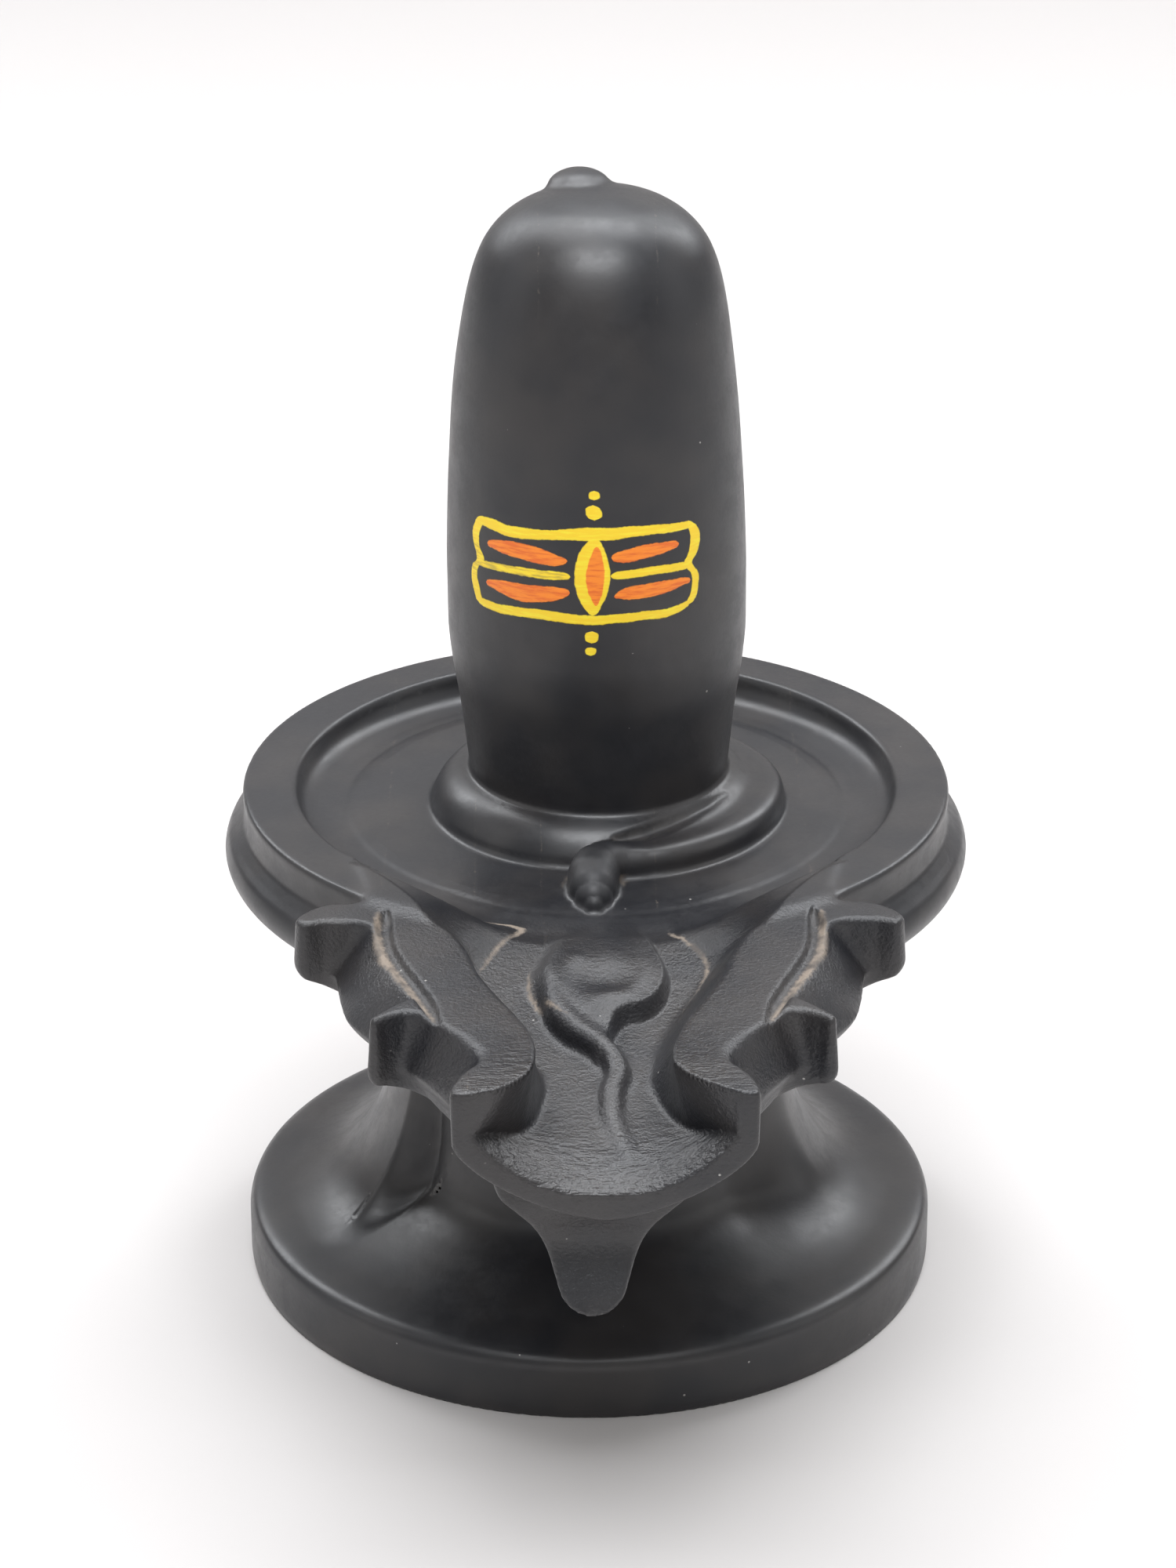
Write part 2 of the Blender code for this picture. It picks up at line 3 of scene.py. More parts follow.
import bpy
import numpy as np
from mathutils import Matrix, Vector


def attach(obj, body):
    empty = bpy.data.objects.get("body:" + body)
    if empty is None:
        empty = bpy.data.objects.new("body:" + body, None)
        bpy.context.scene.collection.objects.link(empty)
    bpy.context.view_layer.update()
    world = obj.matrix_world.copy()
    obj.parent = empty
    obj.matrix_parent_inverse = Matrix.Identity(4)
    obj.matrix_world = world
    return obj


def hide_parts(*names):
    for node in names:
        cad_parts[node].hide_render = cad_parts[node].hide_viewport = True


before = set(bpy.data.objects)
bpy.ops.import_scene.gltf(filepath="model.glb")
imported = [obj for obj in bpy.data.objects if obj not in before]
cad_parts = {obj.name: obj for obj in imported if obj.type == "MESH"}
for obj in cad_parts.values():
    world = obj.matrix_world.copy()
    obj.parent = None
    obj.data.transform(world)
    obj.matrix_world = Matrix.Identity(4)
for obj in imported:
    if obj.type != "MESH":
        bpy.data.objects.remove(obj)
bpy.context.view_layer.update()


# The block of stone
# The real piece is one block of black stone, sawn, chiselled and rubbed smooth by hand.
# Here its forms are distance fields in millimetres, below zero inside the stone: each form
# below is joined to the block or cut from it, and the skin is drawn round the result at the end.
MM = 0.001
FAR = 40.0
GRID = 0.5
CURVE_STEPS = 600


def curve(*points):
    """A smooth line through (place, value) points that never swings past them."""
    place, value = np.array(points, float).T
    step = np.diff(place)
    slope = np.diff(value) / step
    tilt = np.append(slope[0], np.zeros(len(slope)))
    tilt[-1] = slope[-1]
    product = slope[1:] * slope[:-1]
    steady = np.where(product > 0, slope[1:] + slope[:-1], 1.0)
    tilt[1:-1] = np.where(product > 0, 2.0 * product / steady, 0.0)
    fine = np.linspace(place[0], place[-1], CURVE_STEPS)
    left = np.clip(np.searchsorted(place, fine) - 1, 0, len(step) - 1)
    width = step[left]
    share = (fine - place[left]) / width
    rise = share * share * (3.0 - 2.0 * share)
    height = (value[left] * (1.0 - rise) + value[left + 1] * rise
              + width * share * (1.0 - share) * (tilt[left] * (1.0 - share) - tilt[left + 1] * share))
    return lambda at: np.interp(at, fine, height)


def line(*points, steps=140):
    """A smooth open line in a plane through the points, as many small steps."""
    points = np.array(points, float)
    run = np.append(0.0, np.cumsum(np.hypot(*np.diff(points, axis=0).T)))
    places = np.linspace(0.0, run[-1], steps)
    across = curve(*zip(run, points[:, 0]))
    along = curve(*zip(run, points[:, 1]))
    return np.column_stack([across(places), along(places)])


def outline(points, step=GRID, room=16.0):
    """Distance from a closed outline in a plane, worked out once on a fine grid."""
    points = np.array(points, float)
    low = points.min(0) - room
    count = np.ceil((points.max(0) + room - low) / step).astype(int) + 1
    u = low[0] + step * np.arange(count[0])[:, None]
    v = low[1] + step * np.arange(count[1])[None, :]
    nearest = np.full(tuple(count), 1e9)
    inside = np.zeros(tuple(count), bool)
    for (ua, va), (ub, vb) in zip(points, np.roll(points, -1, 0)):
        du, dv = ub - ua, vb - va
        if du * du + dv * dv < 1e-12:
            continue
        share = np.clip(((u - ua) * du + (v - va) * dv) / (du * du + dv * dv), 0.0, 1.0)
        nearest = np.minimum(nearest, (u - ua - share * du) ** 2 + (v - va - share * dv) ** 2)
        if va != vb:
            inside ^= ((va > v) != (vb > v)) & (u < ua + (v - va) * du / dv)
    table = np.sqrt(nearest) * np.where(inside, -1.0, 1.0)

    def read(a, b):
        a = np.clip((a - low[0]) / step, 0.0, count[0] - 1.001)
        b = np.clip((b - low[1]) / step, 0.0, count[1] - 1.001)
        i, j = a.astype(int), b.astype(int)
        s, t = a - i, b - j
        near = table[i, j] * (1.0 - s) + table[i + 1, j] * s
        far = table[i, j + 1] * (1.0 - s) + table[i + 1, j + 1] * s
        return near * (1.0 - t) + far * t
    return read


def join(one, other, reach):
    """Both forms as one, with a hollow fillet where they meet."""
    close = np.maximum(reach - np.abs(one - other), 0.0) / reach
    return np.minimum(one, other) - close * close * reach / 4.0


def meet(one, other, reach):
    """What two forms share, with their common edge rubbed round."""
    return -join(-one, -other, reach)


def cut(block, tool, reach):
    """The block with a tool's form taken out of it."""
    return meet(block, -tool, reach)


def ease(low, high, value):
    """0 below low, 1 above high, and a soft rise between them."""
    share = np.clip((value - low) / (high - low), 0.0, 1.0)
    return share * share * (3.0 - 2.0 * share)


def cord(x, y, z, points, thickness, room=14.0):
    """A rounded strand along points (x, y, z), with its own half thickness at each of them."""
    points = np.array(points, float)
    nearest = np.full(x.shape, FAR)
    low, high = points.min(0) - room, points.max(0) + room
    near_x = (x > low[0]) & (x < high[0])
    near_y = (y > low[1]) & (y < high[1])
    near_z = (z > low[2]) & (z < high[2])
    close = np.flatnonzero(near_x & near_y & near_z)
    if not len(close):
        return nearest
    place = np.column_stack([x[close], y[close], z[close]])
    found = np.full(len(close), FAR)
    for start, end, thin, thick in zip(points, points[1:], thickness, thickness[1:]):
        way = end - start
        share = np.clip((place - start) @ way / (way @ way), 0.0, 1.0)
        gap = np.linalg.norm(place - start - share[:, None] * way, axis=1)
        found = np.minimum(found, gap - thin - (thick - thin) * share)
    nearest[close] = found
    return nearest


# The foot and the stem: a turned disc and a bell, cut back a little further in front, below the
# spout, where the edge of the deeper part shows as a soft ridge on each side and as two thin slits.
# Outlines of turned forms give radius and height, and run a little past their axis.
PAST_AXIS = -5.0
FOOT_EDGE = [(76.6, 0.0), (77.0, 2.5), (77.0, 11.6), (76.3, 14.0), (74.2, 15.3)]
STEM_SIDE = [
    (67.0, 16.6), (60.5, 18.9), (54.5, 23.2), (49.7, 30.0), (46.0, 39.0), (43.5, 50.0), (42.6, 62.0)]
STEM_FRONT = [
    (66.0, 15.8), (56.0, 16.9), (49.0, 19.0), (44.0, 23.0), (41.0, 29.0), (39.2, 38.0), (38.0, 62.0)]
STEM_TOP = 74.0
LEFT_RIDGE, RIGHT_RIDGE = (-64.5, -56.5), (45.0, 75.0)
DEEPER_AT_FOOT, DEEPER_ABOVE = 0.45, 0.55
FOOT_TO_STEM = 16.0, 27.0
SLITS = [((-31.2, -24.6, 31.0), (-32.8, -24.4, 26.0), (-35.2, -24.6, 22.0)),
         ((-55.5, -28.8, 18.4), (-52.0, -25.6, 20.6), (-48.6, -22.6, 23.6))]
SLIT_HALF = (0.1, 0.5, 0.1)
SLIT_EDGE = 0.5


def turned_foot(stem):
    side = line(*FOOT_EDGE, *stem)
    return outline(np.vstack([[(PAST_AXIS, 0.0)], side, [(stem[-1][0], STEM_TOP), (PAST_AXIS, STEM_TOP)]]))


foot_side = turned_foot(STEM_SIDE)
foot_front = turned_foot(STEM_FRONT)


def foot(x, y, z):
    radius = np.hypot(x, y)
    turn = np.degrees(np.arctan2(x, -y))
    front = ease(*LEFT_RIDGE, turn) * (1.0 - ease(*RIGHT_RIDGE, turn))
    front = front * (DEEPER_AT_FOOT + DEEPER_ABOVE * ease(*FOOT_TO_STEM, z))
    block = foot_side(radius, z) * (1.0 - front) + foot_front(radius, z) * front
    for slit in SLITS:
        block = cut(block, cord(x, y, z, slit, SLIT_HALF), SLIT_EDGE)
    return block


# The basin: a bowl turned on its own axis, a little to the right of the foot's. Its rim is flat, a
# band bulges round its side below a shallow cove, and its floor is flat with one low step, which
# fades in front, where the floor falls away to the channel.
AXIS = 1.4
RIM = 115.5
DISH_FLOOR = 109.9
DISH_OPEN = RIM + 6.0
BASIN_SIDE = [
    (75.4, RIM), (76.4, 115.2), (76.8, 114.2), (76.5, 111.0), (76.6, 108.6), (78.2, 106.4),
    (80.3, 104.0), (81.0, 101.4), (80.5, 99.2), (79.4, 97.6), (77.6, 96.3)]
UNDER_RADIUS, UNDER_HEIGHT = 78.0, 96.5
UNDER_IN, UNDER_DROP, UNDER_SWEEP = 41.5, 40.5, 2.6
DISH = [
    (66.4, DISH_OPEN), (65.5, RIM), (65.0, 114.3), (64.5, 112.6), (63.2, 110.8), (61.0, 109.7),
    (57.5, 109.2), (55.0, 109.2), (53.4, 109.6), (51.0, DISH_FLOOR)]
FRONT_FADE = 16.0, 36.0
front_fall = curve(
    (38, 0), (44, 0.25), (51, 0.9), (53.4, 0.85), (55, 0.7), (57.5, 0.95), (60, 1.5), (63, 2.6),
    (66, 4.5))
under = np.linspace(0.06, 1.0, 24)
under_height = UNDER_HEIGHT - UNDER_DROP * under ** UNDER_SWEEP
basin_under = np.column_stack([UNDER_RADIUS - UNDER_IN * under, under_height])
basin_side = line(*BASIN_SIDE, steps=80)
basin_foot = (PAST_AXIS, UNDER_HEIGHT - UNDER_DROP)
basin_outline = outline(np.vstack([[(PAST_AXIS, RIM)], basin_side, basin_under, [basin_foot]]))
dish_side = line(*DISH, steps=60)
dish_outline = outline(np.vstack([[(PAST_AXIS, DISH_OPEN)], dish_side, [(PAST_AXIS, DISH_FLOOR)]]))


def basin(x, y, z):
    return basin_outline(np.hypot(x - AXIS, y), z)


def dish(x, y, z):
    radius = np.hypot(x - AXIS, y)
    aside = np.degrees(np.abs(np.arctan2(x - AXIS, -y)))
    return dish_outline(radius, z + front_fall(radius) * (1.0 - ease(*FRONT_FADE, aside)))


# The spout: a trough that reaches out in front, with two scrolled knobs on each side, a groove
# along the top of each bank, and a lip that flares at its mouth.
SWING = math.radians(0.66)
REACH = 144.5
BELLY = 104.0
BELLY_CURVE = 1.48
bank_top = curve(
    (38, 50), (60, 45), (74, 43.6), (82, 42.2), (90, 40.4), (98, 38), (106, 35.4), (114, 31.4),
    (118, 28.8), (123, 25.6), (128, 23.3), (131, 23.8), (134, 26), (137, 27.8), (141, 29.2),
    (150, 29.8))
bank_side = curve(
    (25, 54), (50, 56), (72, 54), (90, 51.5), (102, 45), (113, 38), (125, 31), (131, 28.2),
    (137, 28.6), (150, 29.8))
keel = curve((25, 50), (40, 60), (52, 69), (72, 79), (90, 83), (113, 86), (144.5, 87.4))
KNOBS = [
    [(36, 60), (42, 64.5), (47, 62), (54, 62), (59, 64.5), (62, 69.5), (60.4, 71.8), (56, 70.6),
     (51.5, 70.5), (47.5, 72), (45, 75.5), (43.5, 82), (36, 86)],
    [(28, 101), (35, 103.5), (38.4, 105), (43.5, 110.3), (45.4, 113.2), (44.6, 114), (42, 112.2),
     (38, 110.6), (34.4, 111), (32, 114), (28, 119)]]
KNOB_UNDER = [(60.0, 102.0, 0.5), (46.0, 101.0, 0.42)]
KNOB_LEAN = 0.06
KNOB_EDGE, KNOB_FILLET, BANK_EDGE, FACE_EDGE, GROOVE_EDGE = 3.0, 2.6, 1.5, 1.4, 1.2
SPOUT_START = 25.0
BANK_BEND = 0.8
SLANT = 0.85
knob_plans = [outline(line(*plan, steps=90), room=20.0) for plan in KNOBS]
GROOVE = [
    (43.4, 64.5), (43.9, 73.5), (43.2, 81.0), (40.8, 89.5), (37.7, 97.5), (34.8, 105.5), (32.4, 114.0)]
GROOVE_BELOW_RIM = 0.3
GROOVE_HALF = [0.2, 1.0] + [1.5] * 10 + [1.2, 0.6]
groove_line = [(aside, out, RIM - GROOVE_BELOW_RIM) for aside, out in line(*GROOVE, steps=len(GROOVE_HALF))]


def to_spout(x, y):
    """Distance across the spout and out along it, from the basin's axis."""
    x = x - AXIS
    return x * math.cos(SWING) + y * math.sin(SWING), x * math.sin(SWING) - y * math.cos(SWING)


def spout(across, out, z):
    half = np.abs(across)
    below = np.maximum(BELLY - z, 0.0)
    side = bank_side(out)
    above = np.clip((RIM - z) / (RIM - BELLY), 0.0, 1.0) ** BANK_BEND
    upper = half - (bank_top(out) * (1.0 - above) + side * above)
    depth = BELLY - keel(out)
    bulge = ((half / side) ** BELLY_CURVE + (below / depth) ** BELLY_CURVE) ** (1.0 / BELLY_CURVE)
    lower = np.hypot(half, below) * (1.0 - 1.0 / np.maximum(bulge, 0.05))
    body = np.where(z > BELLY, upper * SLANT, lower * SLANT)
    for plan, (place, height, fall) in zip(knob_plans, KNOB_UNDER):
        bottom = height - fall * (place - half)
        knob = meet(plan(half, out) - KNOB_LEAN * (RIM - z), bottom - z, KNOB_EDGE)
        body = join(body, knob, KNOB_FILLET)
    body = meet(body, z - RIM, BANK_EDGE)
    body = meet(body, out - REACH, FACE_EDGE)
    body = np.maximum(body, SPOUT_START - out)
    return cut(body, cord(half, out, z, groove_line, GROOVE_HALF), GROOVE_EDGE)


# The channel: it leaves the basin, narrows to a waist and opens to the mouth. A serpent's hood and
# its winding tail lie on the floor, which is bowed up at the sides of the mouth.
rim_left = curve(
    (38, 53), (48, 44.5), (62, 36.5), (72, 33), (76, 30), (85, 26.6), (93, 24.8), (103, 21), (112, 17),
    (120, 14), (126, 13.2), (131, 13.3), (135.7, 14.4), (140.7, 17.8), (143, 21), (144.5, 25),
    (150, 28))
rim_right = curve(
    (38, 53), (48, 44.5), (62, 36.5), (72, 33), (76, 30), (85, 26.6), (93, 24.8), (103, 21),
    (112, 17.2), (120, 14.5), (126, 13), (130.5, 12.8), (135, 14.6), (139, 18), (142, 21.8),
    (144.5, 25.4), (150, 28))
floor_left = curve(
    (50, 12), (59, 15.7), (65.6, 20.2), (72, 24.2), (78, 26), (84, 24.8), (92, 22), (100, 18),
    (106, 14.4), (111, 11.7), (115, 11.2), (120, 12.1), (126, 13.4), (131.4, 15.8), (135, 18.8),
    (138, 21.6), (141, 23.8), (144.5, 25.2), (150, 26))
floor_right = curve(
    (50, 11), (60, 14.3), (64, 16.7), (67, 19.2), (71, 21.6), (75, 21.7), (81, 19.6), (86, 17.3),
    (92, 14.2), (99.6, 11.1), (106, 9.3), (112, 8.9), (116, 9.9), (121.6, 11.8), (127, 14.2),
    (131, 16.4), (135, 19.6), (138, 22), (141, 23.8), (144.5, 25), (150, 26))
floor_height = curve(
    (38, 114), (48, 112.6), (55, 110.3), (62, 108.4), (75, 105.6), (90, 103), (105, 101), (120, 99),
    (130, 97.6), (136, 96.4), (140, 95.3), (144.5, 93.4), (150, 90))
floor_bow = curve((90, 0), (105, 0.3), (115, 1.4), (125, 4.8), (135, 9), (144.5, 11.4), (150, 12))
HOOD = [
    (-9, 56), (-12, 66), (-14.6, 74), (-16, 79.5), (-13.9, 86), (-8.9, 94.5), (-5.6, 98.7), (-3.1, 103),
    (-1.2, 107), (1.0, 104), (2.6, 98), (4.2, 93.4), (8.3, 91.8), (12.0, 87.8), (13.7, 83.5),
    (14.2, 79), (13.4, 74), (11, 66), (8, 56)]
hood_plan = outline(line(*HOOD, steps=160), step=0.3, room=8.0)
hood_top = curve(
    (55, 109.9), (66, 109.9), (75, 109.8), (82, 109.2), (88, 108.3), (93, 107.2), (98, 105.2),
    (104, 103.2), (112, 101.6))
ridge_place = curve(
    (76, -5.8), (80, -8.2), (84, -9.2), (91.2, -8.2), (97.3, -5.2), (101.6, -1.0), (105.6, 1.9),
    (110.4, 2.9), (116.2, 1.7), (122.4, 1.5), (128, 2.6), (134, 4.6))
ridge_top = curve(
    (76, 109.3), (84, 109.2), (91.2, 108.3), (97.3, 107), (101.6, 105.8), (105.6, 104.5),
    (110.4, 103.4), (116.2, 102.2), (122.4, 100.5), (128, 98.5), (134, 96.2))
ridge_half = curve(
    (76, 1.2), (84, 2.6), (91.2, 3.0), (97.3, 2.8), (101.6, 2.3), (110.4, 1.9), (116.2, 1.8),
    (122.4, 1.5), (128, 1.1), (134, 0.4))
ridge_out = np.linspace(76.0, 134.0, 30)
RIDGE_HALF = ridge_half(ridge_out)
RIDGE = np.column_stack([ridge_place(ridge_out), ridge_out, ridge_top(ridge_out) - RIDGE_HALF])
MOUTH_HALF, MOUTH_BOW = 24.3, 2.5
HOOD_EDGE, HOOD_RIGHT_SIDE, HOOD_LEFT_SIDE = -0.2, 1.8, 3.6
HOOD_CROWN = 2.0, 7.0
HOOD_STEEP, HOOD_SOFT = 0.78, 0.22
CHANNEL_START = 44.0
WALL_BEND = 0.85
FLOOR_SLANT = 0.95
CHANNEL_CORNER = 1.1


def mound(across, out, middle, spread, height):
    return height * np.exp(-((across - middle[0]) / spread[0]) ** 2 - ((out - middle[1]) / spread[1]) ** 2)


def channel_floor(across, out):
    height = floor_height(out) + floor_bow(out) * (np.abs(across) / MOUTH_HALF) ** MOUTH_BOW
    within = -hood_plan(across, out)
    left = ease(0.0, 6.0, -across)
    steep = ease(HOOD_EDGE, HOOD_RIGHT_SIDE + HOOD_LEFT_SIDE * left, within)
    side = steep * HOOD_STEEP + ease(*HOOD_CROWN, within) * HOOD_SOFT
    face = mound(across, out, (0.8, 83.0), (5.5, 5.0), 1.5)
    knuckle = mound(across, out, (4.4, 89.6), (3.4, 2.6), 1.0)
    return height + side * np.maximum(hood_top(out) - face + knuckle - height, 0.0)


def channel(across, out, z):
    bed = channel_floor(across, out)
    share = np.clip((z - bed) / np.maximum(RIM - bed, 0.5), 0.0, 1.1) ** WALL_BEND
    left = across < 0.0
    foot_half = np.where(left, floor_left(out), floor_right(out))
    top_half = np.where(left, rim_left(out), rim_right(out))
    walls = np.abs(across) - foot_half - (top_half - foot_half) * share
    space = meet(walls * SLANT, (bed - z) * FLOOR_SLANT, CHANNEL_CORNER)
    return np.maximum(space, CHANNEL_START - out)


# The tongue below the lip: it hangs from the spout's underside, a little behind the front face, and
# is drawn in to a rounded tip. Its front is scooped, deepest halfway up.
TONGUE_LEFT = 2.3
TONGUE_FRONT = 140.4
TONGUE_TOP = 95.0
SCOOP_ACROSS, SCOOP_IN, SCOOP_OUT = 1.0, 4.6, 3.0
SCOOP_LOW, SCOOP_HIGH = (62.0, 78.0), (78.0, 89.0)
TONGUE_EDGE, TONGUE_BACK_EDGE = 1.6, 4.0
tongue_half = curve(
    (60.0, -3.0), (63.2, 0.0), (63.9, 2.2), (65.2, 4.3), (67.4, 6.1), (70.7, 7.2), (74, 8.2), (77, 9.3),
    (82, 12.0), (86, 15.2), (89.5, 18.2), (93, 19.4))
tongue_back = curve((60, 9.0), (70, 12.5), (80, 19), (88, 25), (94, 30))


def tongue(across, out, z):
    aside = np.abs(across + TONGUE_LEFT)
    half = tongue_half(z)
    scoop = SCOOP_ACROSS * (1.0 - np.clip(aside / np.maximum(half, 1.0), 0.0, 1.0) ** 2)
    scoop = scoop + SCOOP_IN * ease(*SCOOP_LOW, z) - SCOOP_OUT * ease(*SCOOP_HIGH, z)
    form = meet((aside - half) * SLANT, out - (TONGUE_FRONT - scoop), TONGUE_EDGE)
    form = meet(form, (TONGUE_FRONT - tongue_back(z)) - out, TONGUE_BACK_EDGE)
    return np.maximum(form, z - TONGUE_TOP)


# The shaft: barrelled, drawn in at its foot and domed, with a small boss behind the crown. It leans
# a little to the left as it rises.
SHAFT_FOOT = 100.0
SHAFT_SIDE = [
    (27.0, SHAFT_FOOT), (27.8, 112.0), (28.0, 118.5), (28.5, 124.0), (29.7, 135.0), (31.2, 145.0),
    (31.9, 154.0), (31.9, 166.0), (31.5, 180.0), (30.9, 191.0), (29.9, 205.0), (28.3, 218.0),
    (26.4, 228.5), (23.7, 236.3), (18.8, 242.3), (12.0, 246.0), (5.0, 247.4), (-5.0, 247.6)]
shaft_outline = outline(np.vstack([[(PAST_AXIS, SHAFT_FOOT)], line(*SHAFT_SIDE, steps=220)]))
SHAFT_MIDDLE, SHAFT_LEAN, LEAN_HEIGHT = 1.7, 0.01, 150.0
DOME, DOME_SHIFT = (205.0, 240.0), 0.6
BOSS = (-2.1, 9.0, 245.6)
BOSS_HALF = (6.7, 6.7, 4.1)
BOSS_MEAN, BOSS_FILLET = 5.0, 1.2


def shaft(x, y, z):
    middle = SHAFT_MIDDLE - SHAFT_LEAN * (z - LEAN_HEIGHT) + DOME_SHIFT * ease(*DOME, z)
    body = shaft_outline(np.hypot(x - middle, y), z)
    place = [(value - centre) / half for value, centre, half in zip((x, y, z), BOSS, BOSS_HALF)]
    boss = (np.sqrt(place[0] ** 2 + place[1] ** 2 + place[2] ** 2) - 1.0) * BOSS_MEAN
    return join(body, boss, BOSS_FILLET)


# The serpent's coil: one ring lies against the foot of the shaft, and an outer strand leaves it at
# the right, comes round to the front and turns out to a drop shaped end.
COIL = [
    (26.0, 118.9), (28.4, 118.7), (30.6, 117.9), (32.8, 116.3), (34.6, 114.0), (35.7, 111.4),
    (35.9, 109.6), (35.9, 108.0)]
coil_outline = outline(np.vstack([line(*COIL, steps=60), [(COIL[0][0], COIL[-1][1])]]), step=0.3)
strand_radius = curve((-95, 35.4), (-60, 36.2), (0, 36.4), (30, 35.0), (60, 32.5), (100, 29.0))
strand_size = curve((-95, 4.3), (-60, 4.5), (0, 4.7), (30, 4.6), (60, 4.0), (100, 2.6))
STRAND_HEIGHT = 111.2
STRAND_ENDS = -82.0, 96.0
STRAND_TAPER, STRAND_END_EDGE = 0.6, 3.0
SQUARED = 2.6
DROP = [
    (9.0, -35.4, 111.6), (5.6, -36.4, 112.2), (3.0, -38.2, 112.7), (1.4, -40.6, 112.6),
    (0.8, -43.2, 112.0), (0.8, -46.0, 111.2), (0.9, -48.8, 110.4), (1.0, -51.6, 109.9)]
DROP_HALF = (4.0, 4.3, 4.7, 5.2, 5.4, 5.0, 3.9, 2.0)
CREASE_TURNS = [
    (31.4, -26, 117.9), (31.2, -38, 117.9), (31.4, -50, 117.7), (32.0, -62, 117.2), (32.8, -72, 116.5),
    (33.6, -82, 115.6)]
CREASE = [
    (AXIS + radius * math.cos(math.radians(turn)), radius * math.sin(math.radians(turn)), top)
    for radius, turn, top in CREASE_TURNS]
CREASE_HALF = (0.2, 0.9, 1.2, 1.4, 1.4, 1.0)
STRAND_FILLET, CREASE_EDGE, DROP_FILLET = 2.2, 1.4, 1.4


def coil(x, y, z):
    aside = x - AXIS
    radius = np.hypot(aside, y)
    turn = np.degrees(np.arctan2(y, aside))
    size = strand_size(turn)
    from_middle = np.abs(radius - strand_radius(turn)) ** SQUARED + np.abs(z - STRAND_HEIGHT) ** SQUARED
    past_end = np.maximum(STRAND_ENDS[0] - turn, turn - STRAND_ENDS[1]) * STRAND_TAPER
    strand = meet(from_middle ** (1.0 / SQUARED) - size, past_end, STRAND_END_EDGE)
    crease = cord(x, y, z, CREASE, CREASE_HALF)
    both = cut(join(coil_outline(radius, z), strand, STRAND_FILLET), crease, CREASE_EDGE)
    return join(both, cord(x, y, z, DROP, DROP_HALF), DROP_FILLET)


# The whole block: the spout and the tongue join the foot and the basin, the dish and the channel are
# cut into them, and the serpent's tail, the shaft and the coil rise from there. Where two forms meet,
# the hollow between them is rubbed round, each by its own width.
STEM_FILLET, SPOUT_FILLET, TONGUE_FILLET, CHANNEL_FILLET, RIDGE_FILLET = 7.0, 5.0, 2.4, 3.0, 3.0
RIM_EDGE = 1.1
COIL_FILLET, LINGAM_FILLET = 1.4, 1.8
AHEAD_FROM, AHEAD_ABOVE = -24.0, 55.0
SHAFT_ROOM, SHAFT_ABOVE = (60.0, 62.0), 96.0


def stone(x, y, z):
    block = join(foot(x, y, z), basin(x, y, z), STEM_FILLET)
    hollow = dish(x, y, z)
    ahead = np.flatnonzero((y < AHEAD_FROM) & (z > AHEAD_ABOVE))
    if len(ahead):
        across, out = to_spout(x[ahead], y[ahead])
        height = z[ahead]
        front = join(block[ahead], spout(across, out, height), SPOUT_FILLET)
        block[ahead] = join(front, tongue(across, out, height), TONGUE_FILLET)
        hollow[ahead] = join(hollow[ahead], channel(across, out, height), CHANNEL_FILLET)
    block = cut(block, hollow, RIM_EDGE)
    if len(ahead):
        block[ahead] = join(block[ahead], cord(across, out, height, RIDGE, RIDGE_HALF), RIDGE_FILLET)
    high = np.flatnonzero((np.abs(x) < SHAFT_ROOM[0]) & (np.abs(y) < SHAFT_ROOM[1]) & (z > SHAFT_ABOVE))
    if len(high):
        spot = x[high], y[high], z[high]
        lingam = join(shaft(*spot), coil(*spot), COIL_FILLET)
        block[high] = join(block[high], lingam, LINGAM_FILLET)
    return block


def in_parts(field, places, size=300000):
    """Field at many places, worked out in parts to keep the memory small."""
    return np.concatenate([field(*places[start:start + size].T) for start in range(0, len(places), size)])


def slope_of(field, places, reach):
    """Direction in which the field grows fastest, and how fast."""
    growth = np.empty((len(places), 3))
    for axis in range(3):
        offset = np.zeros(3)
        offset[axis] = reach
        change = in_parts(field, places + offset) - in_parts(field, places - offset)
        growth[:, axis] = change / (2.0 * reach)
    rate = np.linalg.norm(growth, axis=1, keepdims=True)
    return growth / np.maximum(rate, 1e-6), np.maximum(rate[:, 0], 0.25)


